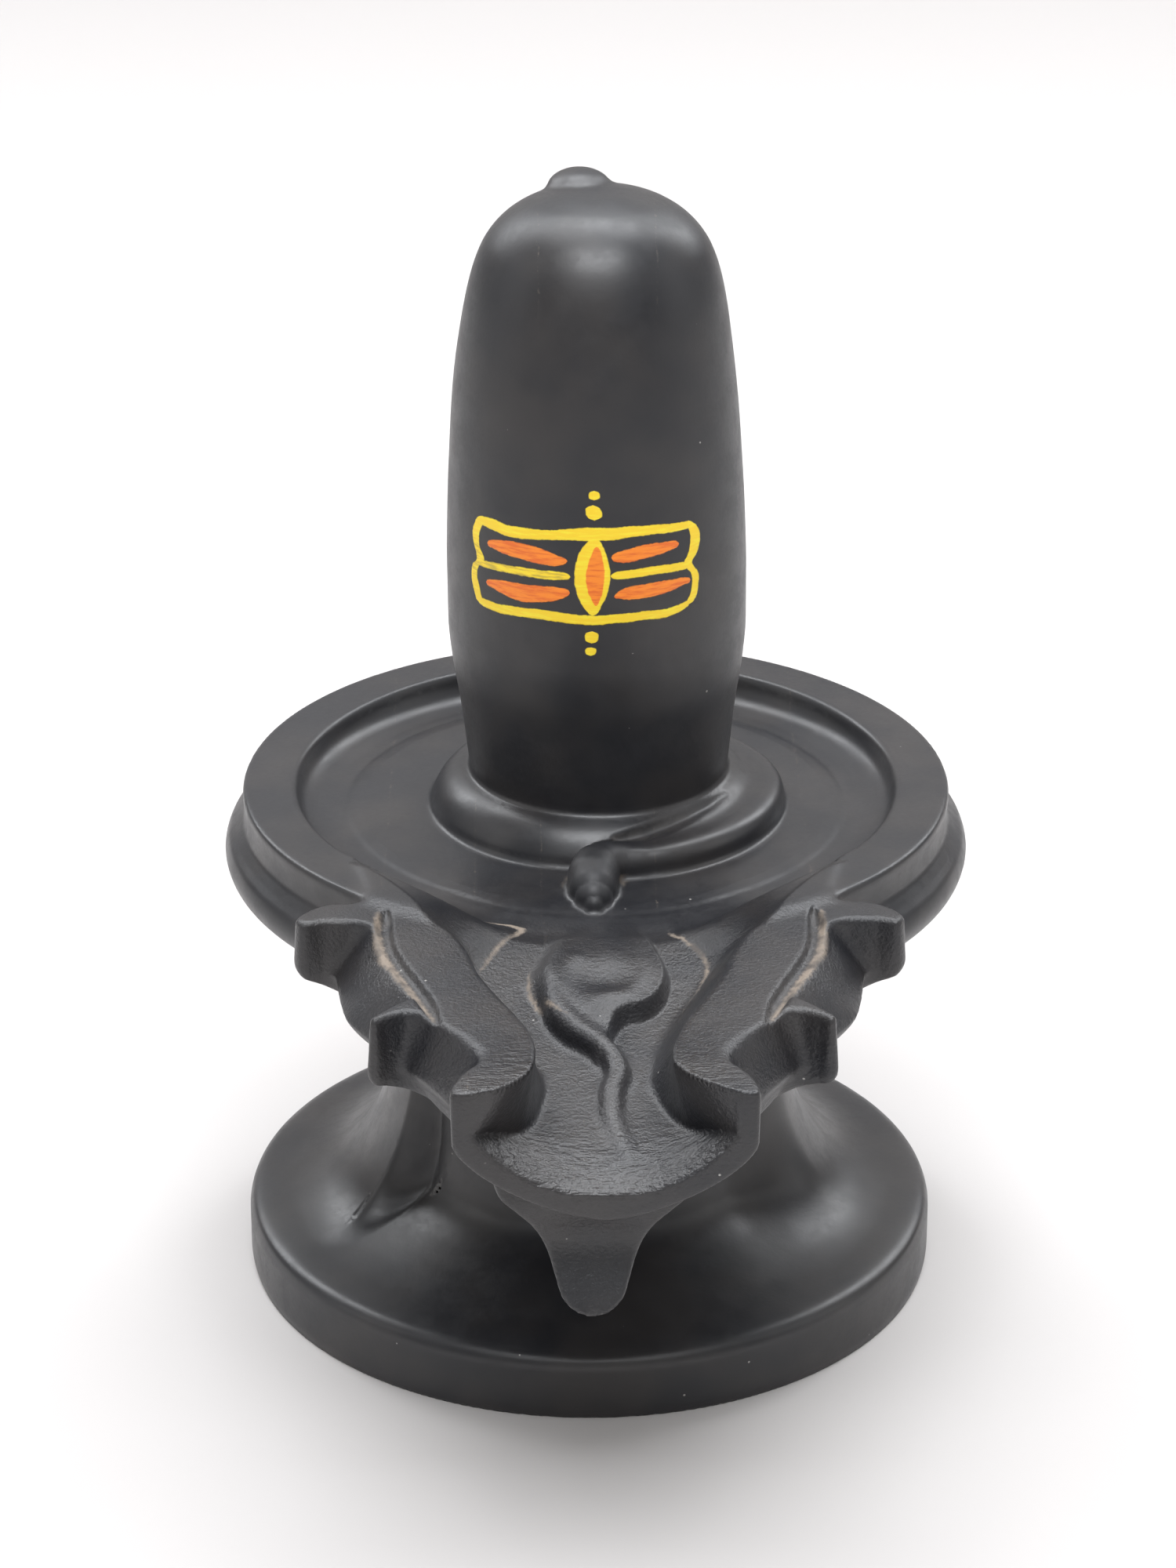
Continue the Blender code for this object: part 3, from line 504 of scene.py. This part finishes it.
def skin(field, low, high, step, ratio=5, margin=1.25):
    """Corners and four sided faces of the surface where the field is zero.

    The field is read on a coarse grid first, and finely only where the surface may pass. Each cell
    that the surface crosses gets one corner, at the mean of the crossings on its edges.
    """
    low = np.array(low, float)
    blocks = np.ceil((np.array(high, float) - low) / (step * ratio)).astype(int)
    sides = [(np.arange(n) + 0.5) * step * ratio for n in blocks]
    middles = np.stack(np.meshgrid(*sides, indexing="ij"), -1)
    rough = in_parts(field, low + middles.reshape(-1, 3)).reshape(blocks)
    near = np.abs(rough) < margin * step * ratio
    value = rough.astype(np.float32)
    for axis in range(3):
        value = np.repeat(value, ratio, axis)
        near = np.repeat(near, ratio, axis)
    value = np.pad(value, (0, 1), "edge")
    near = np.pad(near, (0, 1), "edge")
    for axis in range(3):
        near |= np.roll(near, 1, axis)
    spots = np.argwhere(near)
    value[near] = in_parts(field, low + spots * step)
    del near, spots, rough
    inside = value < 0.0
    cells = tuple(n - 1 for n in value.shape)
    count = np.zeros(cells, np.uint8)
    corners = [(i, j, k) for i in (0, 1) for j in (0, 1) for k in (0, 1)]
    for i, j, k in corners:
        count += inside[i:i + cells[0], j:j + cells[1], k:k + cells[2]]
    crossed = np.argwhere((count > 0) & (count < 8))
    number = np.full(cells, -1, np.int32)
    number[tuple(crossed.T)] = np.arange(len(crossed))
    total = np.zeros((len(crossed), 3))
    hits = np.zeros(len(crossed))
    for axis in range(3):
        for start in corners:
            if start[axis]:
                continue
            end = tuple(c + (index == axis) for index, c in enumerate(start))
            one = value[tuple((crossed + start).T)]
            two = value[tuple((crossed + end).T)]
            differs = (one < 0.0) != (two < 0.0)
            share = np.where(differs, one / np.where(differs, one - two, 1.0), 0.0)
            place = np.tile(np.array(start, float), (len(crossed), 1))
            place[:, axis] += share
            total += place * differs[:, None]
            hits += differs
    places = low + (crossed + total / hits[:, None]) * step
    faces = []
    for axis in range(3):
        first, second = (axis + 1) % 3, (axis + 2) % 3
        here = [slice(1, n) for n in cells]
        ahead = [slice(1, n) for n in cells]
        here[axis], ahead[axis] = slice(0, cells[axis]), slice(1, cells[axis] + 1)
        change = inside[tuple(here)].astype(np.int8) - inside[tuple(ahead)].astype(np.int8)
        spots = np.argwhere(change != 0)
        inward = change[tuple(spots.T)] < 0
        spots[:, first] += 1
        spots[:, second] += 1
        ring = []
        for a, b in ((0, 0), (1, 0), (1, 1), (0, 1)):
            cell = spots.copy()
            cell[:, first] -= a
            cell[:, second] -= b
            ring.append(number[tuple(cell.T)])
        quad = np.column_stack(ring)
        quad[inward] = quad[inward][:, ::-1]
        faces.append(quad)
    return places, np.vstack(faces)


# The skin is drawn round the block, drawn onto its surface twice more and thinned where it is flat.
STEP = 0.8
MOST_TRIANGLES = 188000
BLOCK_LOW, BLOCK_HIGH = (-82.0, -148.0, -2.0), (86.0, 84.0, 252.0)
places, faces = skin(stone, BLOCK_LOW, BLOCK_HIGH, STEP)
for again in range(2):
    way, rate = slope_of(stone, places, 0.3 * STEP)
    shift = np.clip(in_parts(stone, places) / rate, -0.6 * STEP, 0.6 * STEP)
    places = places - way * shift[:, None]

mesh = bpy.data.meshes.new("carved_stone")
mesh.vertices.add(len(places))
mesh.vertices.foreach_set("co", (places * MM).ravel())
mesh.loops.add(faces.size)
mesh.loops.foreach_set("vertex_index", faces.ravel())
mesh.polygons.add(len(faces))
mesh.polygons.foreach_set("loop_start", np.arange(0, faces.size, 4))
mesh.update(calc_edges=True)
carved = bpy.data.objects.new("carved_stone", mesh)
bpy.context.scene.collection.objects.link(carved)
thin = carved.modifiers.new("thin", "DECIMATE")
thin.ratio = min(1.0, MOST_TRIANGLES / (2.0 * len(faces)))
thinned = bpy.data.meshes.new_from_object(carved.evaluated_get(bpy.context.evaluated_depsgraph_get()))
carved.modifiers.clear()
carved.data = thinned
mesh = thinned

count = len(mesh.vertices)
places = np.empty(count * 3)
mesh.vertices.foreach_get("co", places)
places = places.reshape(-1, 3) / MM
way = slope_of(stone, places, 0.35)[0]
mesh.polygons.foreach_set("use_smooth", np.ones(len(mesh.polygons), bool))
mesh.normals_split_custom_set_from_vertices(way)


def attribute(name, values):
    """Keep one number for each corner of the mesh, for the material to read."""
    kept = mesh.attributes.new(name, "FLOAT", "POINT")
    kept.data.foreach_set("value", values.astype(np.float32))


# Numbers kept for the material: how hollow and how sharp the skin is at each corner, whether it is
# a top face, and how far it lies in the channel and at the lip, which the tool left rougher.
HOLLOW_DEPTH, EDGE_DEPTH = 2.2, 1.3
TOP_HEIGHT, TOP_SLOPE = (90.0, 93.0), (0.1, 0.5)
BANK_MARGIN = 4.0
hollow = 1.0 - in_parts(stone, places + way * HOLLOW_DEPTH) / HOLLOW_DEPTH
sharp = 1.0 + in_parts(stone, places - way * EDGE_DEPTH) / EDGE_DEPTH
across, out = to_spout(places[:, 0], places[:, 1])
on_top = ease(*TOP_HEIGHT, places[:, 2]) * ease(*TOP_SLOPE, way[:, 2])
in_channel = ease(0.0, 2.0, rim_right(out) + BANK_MARGIN - np.abs(across)) * on_top
attribute("hollow", np.clip(hollow, 0.0, 1.0))
attribute("sharp", np.clip(sharp, 0.0, 1.0))
attribute("on_top", on_top)
attribute("tooled", in_channel * ease(58.0, 84.0, out))
attribute("lip", on_top * ease(120.0, 138.0, out))


# The stone's look: a near black, satin stone with a faint mottle, pale dust in its hollows, edges
# painted lighter as wear and as a painted highlight, tool marks in the channel and a few pale specks.
class Value:
    """A number that changes over the surface, so that the shader's maths reads as plain sums."""

    def __init__(self, socket):
        self.socket = socket

    def __add__(self, other):
        return sums("ADD", self, other)

    def __radd__(self, other):
        return sums("ADD", other, self)

    def __sub__(self, other):
        return sums("SUBTRACT", self, other)

    def __rsub__(self, other):
        return sums("SUBTRACT", other, self)

    def __mul__(self, other):
        return sums("MULTIPLY", self, other)

    def __rmul__(self, other):
        return sums("MULTIPLY", other, self)

    def __truediv__(self, other):
        return sums("DIVIDE", self, other)

    def __rtruediv__(self, other):
        return sums("DIVIDE", other, self)

    def __neg__(self):
        return sums("MULTIPLY", self, -1.0)

    def __abs__(self):
        return node("Math", {"operation": "ABSOLUTE"}, [self])


finish = bpy.data.materials.new("black_stone_finish")
finish.use_nodes = True
finish.node_tree.nodes.clear()


def node(kind, settings, sockets, output=0, tree=finish.node_tree):
    """Add one node: its settings first, then its sockets, as a list or by name."""
    made = tree.nodes.new("ShaderNode" + kind)
    for key, value in settings.items():
        if key == "points":
            graph = made.mapping.curves[0]
            for place, height in value[1:-1]:
                graph.points.new(place, height)
            graph.points[0].location = value[0]
            graph.points[-1].location = value[-1]
            made.mapping.update()
        else:
            setattr(made, key, value)
    named = sockets.items() if isinstance(sockets, dict) else enumerate(sockets)
    for key, value in named:
        if isinstance(value, Value):
            tree.links.new(value.socket, made.inputs[key])
        else:
            made.inputs[key].default_value = value
    return Value(made.outputs[output])


def sums(operation, one, other):
    """One step of the shader's maths."""
    return node("Math", {"operation": operation}, [one, other])


def least(*values):
    """The smallest of several values."""
    found = values[0]
    for value in values[1:]:
        found = sums("MINIMUM", found, value)
    return found


def rise(value, low, high, start=0.0, end=1.0):
    """A soft step: start below low, end above high."""
    return node("MapRange", {"interpolation_type": "SMOOTHSTEP"}, [value, low, high, start, end])


def mixed(share, one, other):
    """One colour below, the other where the share is 1."""
    return node("Mix", {"data_type": "RGBA"}, {0: share, 6: one, 7: other}, 2)


def kept(name):
    """A number kept on the mesh."""
    return node("Attribute", {"attribute_name": name}, {}, "Fac")


def grain(where, size, detail=3.0, rough=0.55):
    """Noise whose lumps are about size millimetres across."""
    sockets = {"Vector": where, "Scale": 1.0 / size, "Detail": detail, "Roughness": rough}
    return node("TexNoise", {}, sockets)


spot = node("TexCoord", {}, {}, "Object")
spot = node("VectorMath", {"operation": "SCALE"}, {0: spot, "Scale": 1.0 / MM})
x, y, z = (node("SeparateXYZ", {}, [spot], axis) for axis in "XYZ")
WIDEST, BELOW_NONE = 5.0, 0.1  # a brush line's half width runs from -0.5 to 4.5 mm


def brushed(place, start, end, aside, low, high, points):
    """Distance outside a brush line; each point has its place, its middle and its half width."""
    share = node("Clamp", {}, [(place - start) / (end - start)])
    middles = [((at - start) / (end - start), (middle - low) / (high - low)) for at, middle, half in points]
    halves = [((at - start) / (end - start), half / WIDEST + BELOW_NONE) for at, middle, half in points]
    middle = node("FloatCurve", {"points": middles}, [1.0, share])
    half = node("FloatCurve", {"points": halves}, [1.0, share])
    return abs(aside - (middle * (high - low) + low)) - (half * WIDEST - BELOW_NONE * WIDEST)


STONE = (0.0110, 0.0115, 0.0145, 1.0)
STONE_WARM = (0.0235, 0.0215, 0.0220, 1.0)
DUST = (0.36, 0.29, 0.225, 1.0)
FILM = (0.085, 0.078, 0.072, 1.0)
# Lighter grey painted on sharp edges, both as wear and as a painted edge highlight.
WORN_AND_EDGE_HIGHLIGHT = (0.16, 0.155, 0.15, 1.0)
SPECK = (0.55, 0.53, 0.50, 1.0)

hollow, sharp, on_top, tooled, lip = map(kept, ("hollow", "sharp", "on_top", "tooled", "lip"))
broad = grain(spot, 22.0, 2.0)
fine = grain(spot, 3.0, 4.0)
sand = grain(spot, 0.8, 2.0)
colour = mixed(rise(broad, 0.35, 0.7), STONE, STONE_WARM)
film = rise(hollow, 0.32, 0.75) * rise(fine, 0.3, 0.65) * rise(z, 88.0, 96.0) * (1.0 - tooled * 0.7)
colour = mixed(film * 0.4, colour, FILM)

# Pale dust lies in lines at the head of the channel, beside the serpent and in the two grooves, and
# in the deeper hollows of the basin.
spout_x = (x - AXIS) * math.cos(SWING) + y * math.sin(SWING)
spout_out = (x - AXIS) * math.sin(SWING) - y * math.cos(SWING)
NEAR, AWAY, SIDE = 54.0, 136.0, 48.0
shaken = spout_x + (fine - 0.5) * 1.2


def dust_line(aside, *points):
    return brushed(spout_out, NEAR, AWAY, aside, -SIDE, SIDE, points)


GONE = -0.45
left_dust = dust_line(
    shaken, (54, -26, GONE), (56.4, -25, GONE), (57.2, -21.8, 0.6), (58.4, -17.2, 1.2),
    (59.2, -16.2, 0.8), (62.0, -17.6, 0.5), (65.6, -20.0, 0.45), (71.0, -22.9, 0.35),
    (76.0, -24.8, GONE), (136, -26, GONE))
right_dust = dust_line(
    shaken, (54, 12, GONE), (60.0, 14.2, GONE), (61.4, 14.8, 0.2), (67.3, 19.2, 0.5), (73, 21.7, 0.35),
    (81, 19.8, 0.0), (88, 16.6, GONE), (136, 16, GONE))
hood_dust = dust_line(
    shaken, (54, -12, GONE), (69, -12, GONE), (72, -13.4, GONE), (77.5, -14.6, 0.1), (86, -13.4, 0.3),
    (94.5, -8.4, 0.15), (97.2, -6.4, GONE), (136, -6, GONE))
groove_dust = dust_line(
    abs(spout_x) + (fine - 0.5) * 0.8, (54, 45, GONE), (65.6, 45, GONE), (67.2, 45.3, 0.4),
    (74, 45.2, 0.8), (81.8, 44.3, 0.9), (90, 41.7, 0.9), (98.1, 38.5, 0.85), (106.1, 35.4, 0.6),
    (112.5, 33.0, 0.2), (114.5, 32.4, GONE), (136, 32, GONE))
nearest_line = least(left_dust, right_dust, hood_dust, groove_dust)
ragged = (sand - 0.5) * 1.4 + (fine - 0.5) * 0.8
lines = rise(nearest_line + ragged, 0.6, -0.5) * on_top
line_dust = lines * rise(grain(spot, 6.0, 2.0), 0.34, 0.6, 0.25, 1.0)
DROP_MIDDLE = 1.2
beside_drop = rise(abs(x - DROP_MIDDLE), 15.0, 6.0) * rise(abs(spout_out - 40.5), 5.0, 2.0)
in_basin = rise(z, 100.0, 108.0) * rise(z, 114.5, 112.5)
pocket_dust = rise(hollow + beside_drop * 0.2 + (fine - 0.5) * 0.3, 0.55, 0.8) * in_basin
colour = mixed(pocket_dust * 0.28, colour, DUST)
colour = mixed(line_dust * 0.62, colour, DUST)

# Edges are painted lighter, partly as rubbed wear and partly as a painted highlight along them, and a few
# pale specks lie in the stone.
# Painted highlight and wear: the sharper the edge, the more it is mixed towards the lighter grey.
wear_and_edge_highlight = rise(sharp + (fine - 0.5) * 0.5, 0.55, 0.8) * rise(sand, 0.35, 0.6, 0.3, 1.0)
colour = mixed(wear_and_edge_highlight * 0.6, colour, WORN_AND_EDGE_HIGHLIGHT)
flecks = node("TexVoronoi", {}, {"Vector": spot, "Scale": 0.16}, "Distance")
colour = mixed(rise(flecks, 0.05, 0.03) * rise(fine, 0.52, 0.6) * 0.6, colour, SPECK)

# The painted mark on the shaft's front, laid on with a brush: three bowed yellow lines joined at their
# ends, a leaf in their middle, orange dabs between them and two dots above and below.
PAINT_RADIUS, PAINT_MIDDLE = 31.9, 1.45
LEFT_END, RIGHT_END, LOW_END, HIGH_END = -32.0, 26.0, 154.0, 196.0
turned_by = node("Math", {"operation": "ARCTAN2"}, [x - PAINT_MIDDLE, -y])
wobble = (grain(spot, 5.0, 1.0) - 0.5) * 0.5
around = turned_by * PAINT_RADIUS + wobble
up = z + (grain(spot, 4.0, 1.0) - 0.5) * 0.45


def across_line(*points):
    return brushed(around, LEFT_END, RIGHT_END, up, LOW_END, HIGH_END, points)


def upright_line(*points):
    return brushed(up, LOW_END, HIGH_END, around, LEFT_END, RIGHT_END, points)


NONE = -0.35
top_line = across_line(
    (-32, 183, NONE), (-28.9, 183, NONE), (-28.2, 183.1, 0.5), (-27.2, 183.1, 0.95),
    (-23.7, 183.1, 1.2), (-19.6, 182.7, 1.25), (-14.8, 183.0, 1.15), (-9.9, 183.4, 1.05),
    (-5.7, 183.8, 1.25), (-1.2, 184.1, 1.4), (2.8, 184.1, 1.3), (7.4, 184.3, 1.15), (12.1, 184.2, 1.0),
    (16.7, 183.9, 0.9), (20.2, 183.8, 0.8), (21.4, 183.7, 0.5), (22.0, 183.7, NONE), (26, 183.7, NONE))
middle_line = across_line(
    (-32, 173.4, NONE), (-28.6, 173.4, NONE), (-27.6, 173.6, 0.6), (-23.0, 174.1, 0.8),
    (-17.4, 174.4, 0.85), (-12.3, 174.6, 0.92), (-7.6, 174.7, 0.9), (-5.8, 174.7, 0.5),
    (-4.8, 174.7, NONE), (2.4, 175.0, NONE), (3.3, 175.0, 0.5), (5.9, 175.1, 0.95), (10.5, 175.4, 0.85),
    (15.4, 175.3, 0.9), (19.4, 175.1, 0.8), (20.6, 175.0, 0.5), (21.2, 175.0, NONE), (26, 175, NONE))
low_line = across_line(
    (-32, 165.2, NONE), (-28.8, 165.2, NONE), (-28.1, 165.2, 0.5), (-26.6, 165.1, 0.85),
    (-23.0, 165.0, 0.97), (-17.4, 165.4, 1.0), (-12.3, 165.7, 1.05), (-7.6, 165.6, 1.1),
    (-3.1, 165.3, 1.07), (1.3, 165.4, 1.0), (5.8, 165.6, 0.97), (10.4, 165.7, 0.97),
    (15.3, 165.6, 0.97), (18.4, 166.0, 0.83), (20.5, 166.6, 0.6), (21.4, 166.9, NONE), (26, 167, NONE))
left_bend = upright_line(
    (154, -27.8, NONE), (164.3, -27.8, NONE), (165.3, -27.9, 1.1), (167.6, -28.9, 1.2),
    (170.7, -29.6, 1.0), (172.8, -29.0, 1.0), (174.0, -27.6, 1.2), (175.2, -27.6, 1.2),
    (177.2, -28.9, 1.0), (179.9, -29.3, 1.1), (182.6, -28.2, 1.2), (183.8, -27.6, 0.6),
    (184.4, -27.6, NONE), (196, -27.6, NONE))
right_bend = upright_line(
    (154, 20, NONE), (165.8, 20.0, NONE), (166.8, 20.9, 1.0), (168.4, 22.0, 1.0), (170.0, 22.35, 0.95),
    (172.9, 22.2, 0.9), (174.6, 20.9, 1.0), (175.6, 20.5, 1.1), (177.0, 21.6, 1.25), (178.6, 22.3, 1.3),
    (181.3, 22.6, 1.3), (183.2, 21.8, 1.1), (184.4, 20.8, 0.6), (185.0, 20.8, NONE), (196, 20, NONE))
leaf = upright_line(
    (154, -0.7, NONE), (165.9, -0.7, NONE), (166.6, -0.7, 0.7), (169.2, -0.8, 2.3),
    (172.0, -0.85, 3.35), (174.8, -0.85, 3.75), (178.6, -0.9, 3.2), (180.9, -0.7, 2.3),
    (182.8, -0.4, 1.0), (183.4, -0.4, NONE), (196, -0.4, NONE))
leaf_heart = upright_line(
    (154, 0, NONE), (168.0, 0, NONE), (168.7, 0, 0.3), (170.1, -0.1, 0.95), (172.0, -0.2, 1.6),
    (174.8, -0.26, 1.95), (177.7, -0.14, 1.6), (179.5, 0, 1.1), (181.2, 0.1, 0.4), (181.8, 0.1, NONE),
    (196, 0.1, NONE))
upper_dabs = across_line(
    (-32, 178.5, NONE), (-26.0, 178.5, NONE), (-25.3, 178.6, 0.55), (-23.6, 178.8, 1.0),
    (-20.7, 178.9, 1.4), (-16.3, 178.9, 1.75), (-11.3, 178.5, 1.6), (-7.6, 178.0, 0.95),
    (-6.3, 178.1, 0.4), (-5.6, 178.2, NONE), (2.6, 179.0, NONE), (3.3, 179.0, 0.5), (4.2, 179.1, 1.0),
    (6.0, 179.1, 1.3), (9.7, 179.7, 1.45), (13.5, 179.9, 1.3), (16.6, 180.2, 0.95), (18.0, 180.2, 0.4),
    (18.7, 180.2, NONE), (26, 180, NONE))
lower_dabs = across_line(
    (-32, 169.9, NONE), (-26.2, 169.9, NONE), (-25.5, 169.9, 0.5), (-23.6, 170.0, 1.0),
    (-21.2, 170.0, 1.4), (-16.3, 169.8, 1.9), (-11.4, 170.3, 1.8), (-7.6, 170.8, 1.25),
    (-5.7, 171.2, 0.5), (-5.0, 171.2, NONE), (3.2, 170.4, NONE), (3.9, 170.5, 0.4), (5.0, 170.8, 0.9),
    (7.2, 171.0, 1.45), (11.4, 171.2, 1.5), (15.4, 171.4, 1.35), (18.0, 171.7, 1.0), (20.8, 171.7, 0.5),
    (21.6, 171.7, NONE), (26, 171, NONE))
dots = upright_line(
    (154, -0.9, NONE), (157.1, -1.1, NONE), (157.5, -1.1, 0.7), (158.3, -1.1, 1.15), (159.1, -1.0, 0.7),
    (159.5, -1.0, NONE), (159.9, -0.9, NONE), (160.4, -0.9, 0.85), (161.5, -0.9, 1.4),
    (162.6, -0.8, 0.85), (163.2, -0.8, NONE), (186.6, -0.6, NONE), (187.4, -0.4, 0.9),
    (188.7, -0.6, 1.65), (190.0, -0.8, 0.95), (190.8, -0.6, NONE), (191.1, -0.5, NONE),
    (191.6, -0.5, 0.75), (192.4, -0.5, 1.15), (193.2, -0.5, 0.75), (193.7, -0.5, NONE),
    (196, -0.5, NONE))

# The paint's edge is a little rough, and its colour is streaked by the brush. The yellow is thin on
# the left of the middle line, where it looks olive.
EDGE = 0.14
facing = rise(y, -8.0, -11.0)
rough_edge = (sand - 0.5) * 0.35
yellow_strokes = least(top_line, middle_line, low_line, left_bend, right_bend, leaf, dots)
orange_strokes = least(leaf_heart, upper_dabs, lower_dabs)
yellow_mask = rise(yellow_strokes + rough_edge, EDGE, -EDGE) * facing
orange_mask = rise(orange_strokes + rough_edge, EDGE, -EDGE) * facing
MIDDLE_LINE_HEIGHT = 174.4
drawn_out = node("VectorMath", {"operation": "MULTIPLY"}, [spot, (0.25, 0.25, 2.0)])
streaks = grain(drawn_out, 1.2, 3.0, 0.6)
off_middle_line = rise(abs(up - MIDDLE_LINE_HEIGHT), 3.0, 5.5, 0.0, 0.25)
off_left_side = rise(around, -8.0, -3.0, 0.0, 0.2)
cover = rise(streaks + off_middle_line + off_left_side, 0.36, 0.56, 0.55, 1.0)
YELLOW = (1.0, 0.80, 0.03, 1.0)
YELLOW_DEEP = (0.98, 0.68, 0.015, 1.0)
ORANGE = (1.0, 0.27, 0.012, 1.0)
ORANGE_DEEP = (0.85, 0.15, 0.008, 1.0)
OLIVE = (0.23, 0.21, 0.06, 1.0)
yellow = mixed(cover, OLIVE, mixed(rise(streaks, 0.45, 0.7), YELLOW_DEEP, YELLOW))
orange = mixed(rise(streaks, 0.35, 0.6), ORANGE_DEEP, ORANGE)
colour = mixed(yellow_mask, colour, yellow)
colour = mixed(orange_mask, colour, orange)
painted = sums("MAXIMUM", yellow_mask, orange_mask)

# The sheen is satin all over, duller where dust or a film lies, on the drop, the shaft and the paint,
# and glossier at the lip.
SATIN, PAINT_SHEEN = 0.345, 0.45
polish = rise(grain(spot, 7.0, 4.0, 0.65), 0.42, 0.62)
ahead = rise(spout_out, 52.0, 75.0) * rise(z, 55.0, 70.0)
on_drop = rise(abs(x - DROP_MIDDLE), 8.0, 5.5) * rise(abs(spout_out - 46.0), 12.0, 8.0)
on_drop = on_drop * rise(z, 109.0, 110.5)
upright = rise(z, 119.0, 126.0)
roughness = SATIN + polish * 0.06 + (sand - 0.5) * 0.12 + film * 0.12 + lines * 0.3 + ahead * 0.03
roughness = roughness + on_drop * 0.17 + upright * 0.045 - lip * 0.05
roughness = roughness + painted * (PAINT_SHEEN - roughness)

# The fine relief, in millimetres: wrinkles across the lip, and pits and soft lumps over the spout.
STONE_IOR = 1.62
stretched = node("VectorMath", {"operation": "MULTIPLY"}, [spot, (0.35, 1.0, 1.0)])
wrinkles = grain(stretched, 1.5, 3.0, 0.6) * (lip * 0.5 + tooled * 0.06)
pits = grain(spot, 0.75, 3.0, 0.6) * (ahead * 0.19 + 0.012)
lumps = grain(spot, 2.6, 3.0) * (ahead * 0.13 + 0.02)
relief = wrinkles + pits + lumps + painted * 0.05
bump = node("Bump", {}, {"Strength": 1.0, "Distance": MM, "Height": relief})
stone_sockets = {"Base Color": colour, "Roughness": roughness, "Normal": bump, "IOR": STONE_IOR}
surface = node("BsdfPrincipled", {}, stone_sockets)
final = finish.node_tree.nodes.new("ShaderNodeOutputMaterial")
finish.node_tree.links.new(surface.socket, final.inputs["Surface"])

mesh.materials.clear()
mesh.materials.append(finish)
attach(carved, "root")
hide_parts("lingam_and_yoni")


# The studio: a broad sweep of pale paper that curves up behind the stone. Soft boxes hang above, in
# front, overhead and behind, with one more at each side and at each back corner.
PAPER = (0.605, 0.585, 0.574, 1.0)
SWEEP_FRONT, SWEEP_BACK, SWEEP_HEIGHT, SWEEP_BEND, SWEEP_HALF = -3.0, 2.2, 2.6, 0.7, 4.0


def studio_sweep():
    flat_end = SWEEP_BACK - SWEEP_BEND
    profile = [(SWEEP_FRONT, 0.0), (flat_end, 0.0)]
    for turn in np.linspace(0.05, 0.5 * math.pi, 14):
        profile.append((flat_end + SWEEP_BEND * math.sin(turn), SWEEP_BEND - SWEEP_BEND * math.cos(turn)))
    profile.append((SWEEP_BACK, SWEEP_HEIGHT))
    corners = [(x, y, z) for y, z in profile for x in (-SWEEP_HALF, SWEEP_HALF)]
    rows = [(2 * i, 2 * i + 1, 2 * i + 3, 2 * i + 2) for i in range(len(profile) - 1)]
    paper = bpy.data.meshes.new("paper_sweep")
    paper.from_pydata(corners, [], rows)
    paper.polygons.foreach_set("use_smooth", [True] * len(rows))
    sweep = bpy.data.objects.new("paper_sweep", paper)
    bpy.context.scene.collection.objects.link(sweep)
    material = bpy.data.materials.new("pale_paper")
    material.use_nodes = True
    surface = material.node_tree.nodes["Principled BSDF"]
    surface.inputs["Base Color"].default_value = PAPER
    surface.inputs["Roughness"].default_value = 0.9
    surface.inputs["Specular IOR Level"].default_value = 0.0
    paper.materials.append(material)
    return sweep


studio_sweep()


def soft_light(name, place, target, width, height, power, tint=(1.0, 1.0, 1.0)):
    light = bpy.data.lights.new(name, "AREA")
    light.shape = "RECTANGLE"
    light.size = width
    light.size_y = height
    light.energy = power
    light.color = tint
    lamp = bpy.data.objects.new(name, light)
    lamp.location = place
    lamp.rotation_euler = (Vector(target) - Vector(place)).to_track_quat("-Z", "Y").to_euler()
    bpy.context.scene.collection.objects.link(lamp)


COOL = (0.95, 0.97, 1.0)
soft_light("softbox_above", (0.0, -0.62, 1.45), (0.0, 0.0, 0.2), 0.9, 0.6, 15.0, COOL)
soft_light("softbox_front", (0.0, -2.0, 1.7), (0.0, -0.3, 0.0), 2.4, 1.0, 11.0, COOL)
soft_light("softbox_overhead", (0.0, 0.5, 1.6), (0.0, -0.05, 0.1), 1.3, 0.6, 20.0, COOL)
soft_light("softbox_behind", (0.0, 1.7, 1.2), (0.0, 0.0, 0.1), 2.2, 0.55, 2.4)
for side in (-1.0, 1.0):
    soft_light("softbox_side", (side * 1.6, -0.3, 0.8), (0.0, 0.0, 0.15), 0.9, 1.2, 2.2)
    soft_light("softbox_back_corner", (side * 1.15, 1.1, 1.3), (0.0, 0.0, 0.1), 0.6, 1.2, 13.0, COOL)

# The room is darker in front of the stone than behind it.
ROOM_FRONT, ROOM_BACK = 0.3, 0.5
world = bpy.data.worlds.new("studio")
world.use_nodes = True
room = world.node_tree
direction = node("TexCoord", {}, {}, "Generated", room)
backward = node("SeparateXYZ", {}, [direction], "Y", room)
brightness = node("MapRange", {}, [backward, -1.0, 1.0, ROOM_FRONT, ROOM_BACK], 0, room)
walls = room.nodes["Background"]
walls.inputs["Color"].default_value = (1.0, 0.985, 0.975, 1.0)
room.links.new(brightness.socket, walls.inputs["Strength"])
bpy.context.scene.world = world
bpy.context.scene.view_settings.view_transform = "Standard"


# The camera: a long lens in front of the spout, looking down on the basin.
camera_data = bpy.data.cameras.new("camera")
camera_data.lens = 100.0
camera_data.sensor_width = 36.0
camera = bpy.data.objects.new("camera", camera_data)
camera.location = (-0.0001, -0.8654, 0.5073)
camera.rotation_euler = (math.radians(65.54), 0.0, math.radians(0.012))
bpy.context.scene.collection.objects.link(camera)
bpy.context.scene.camera = camera
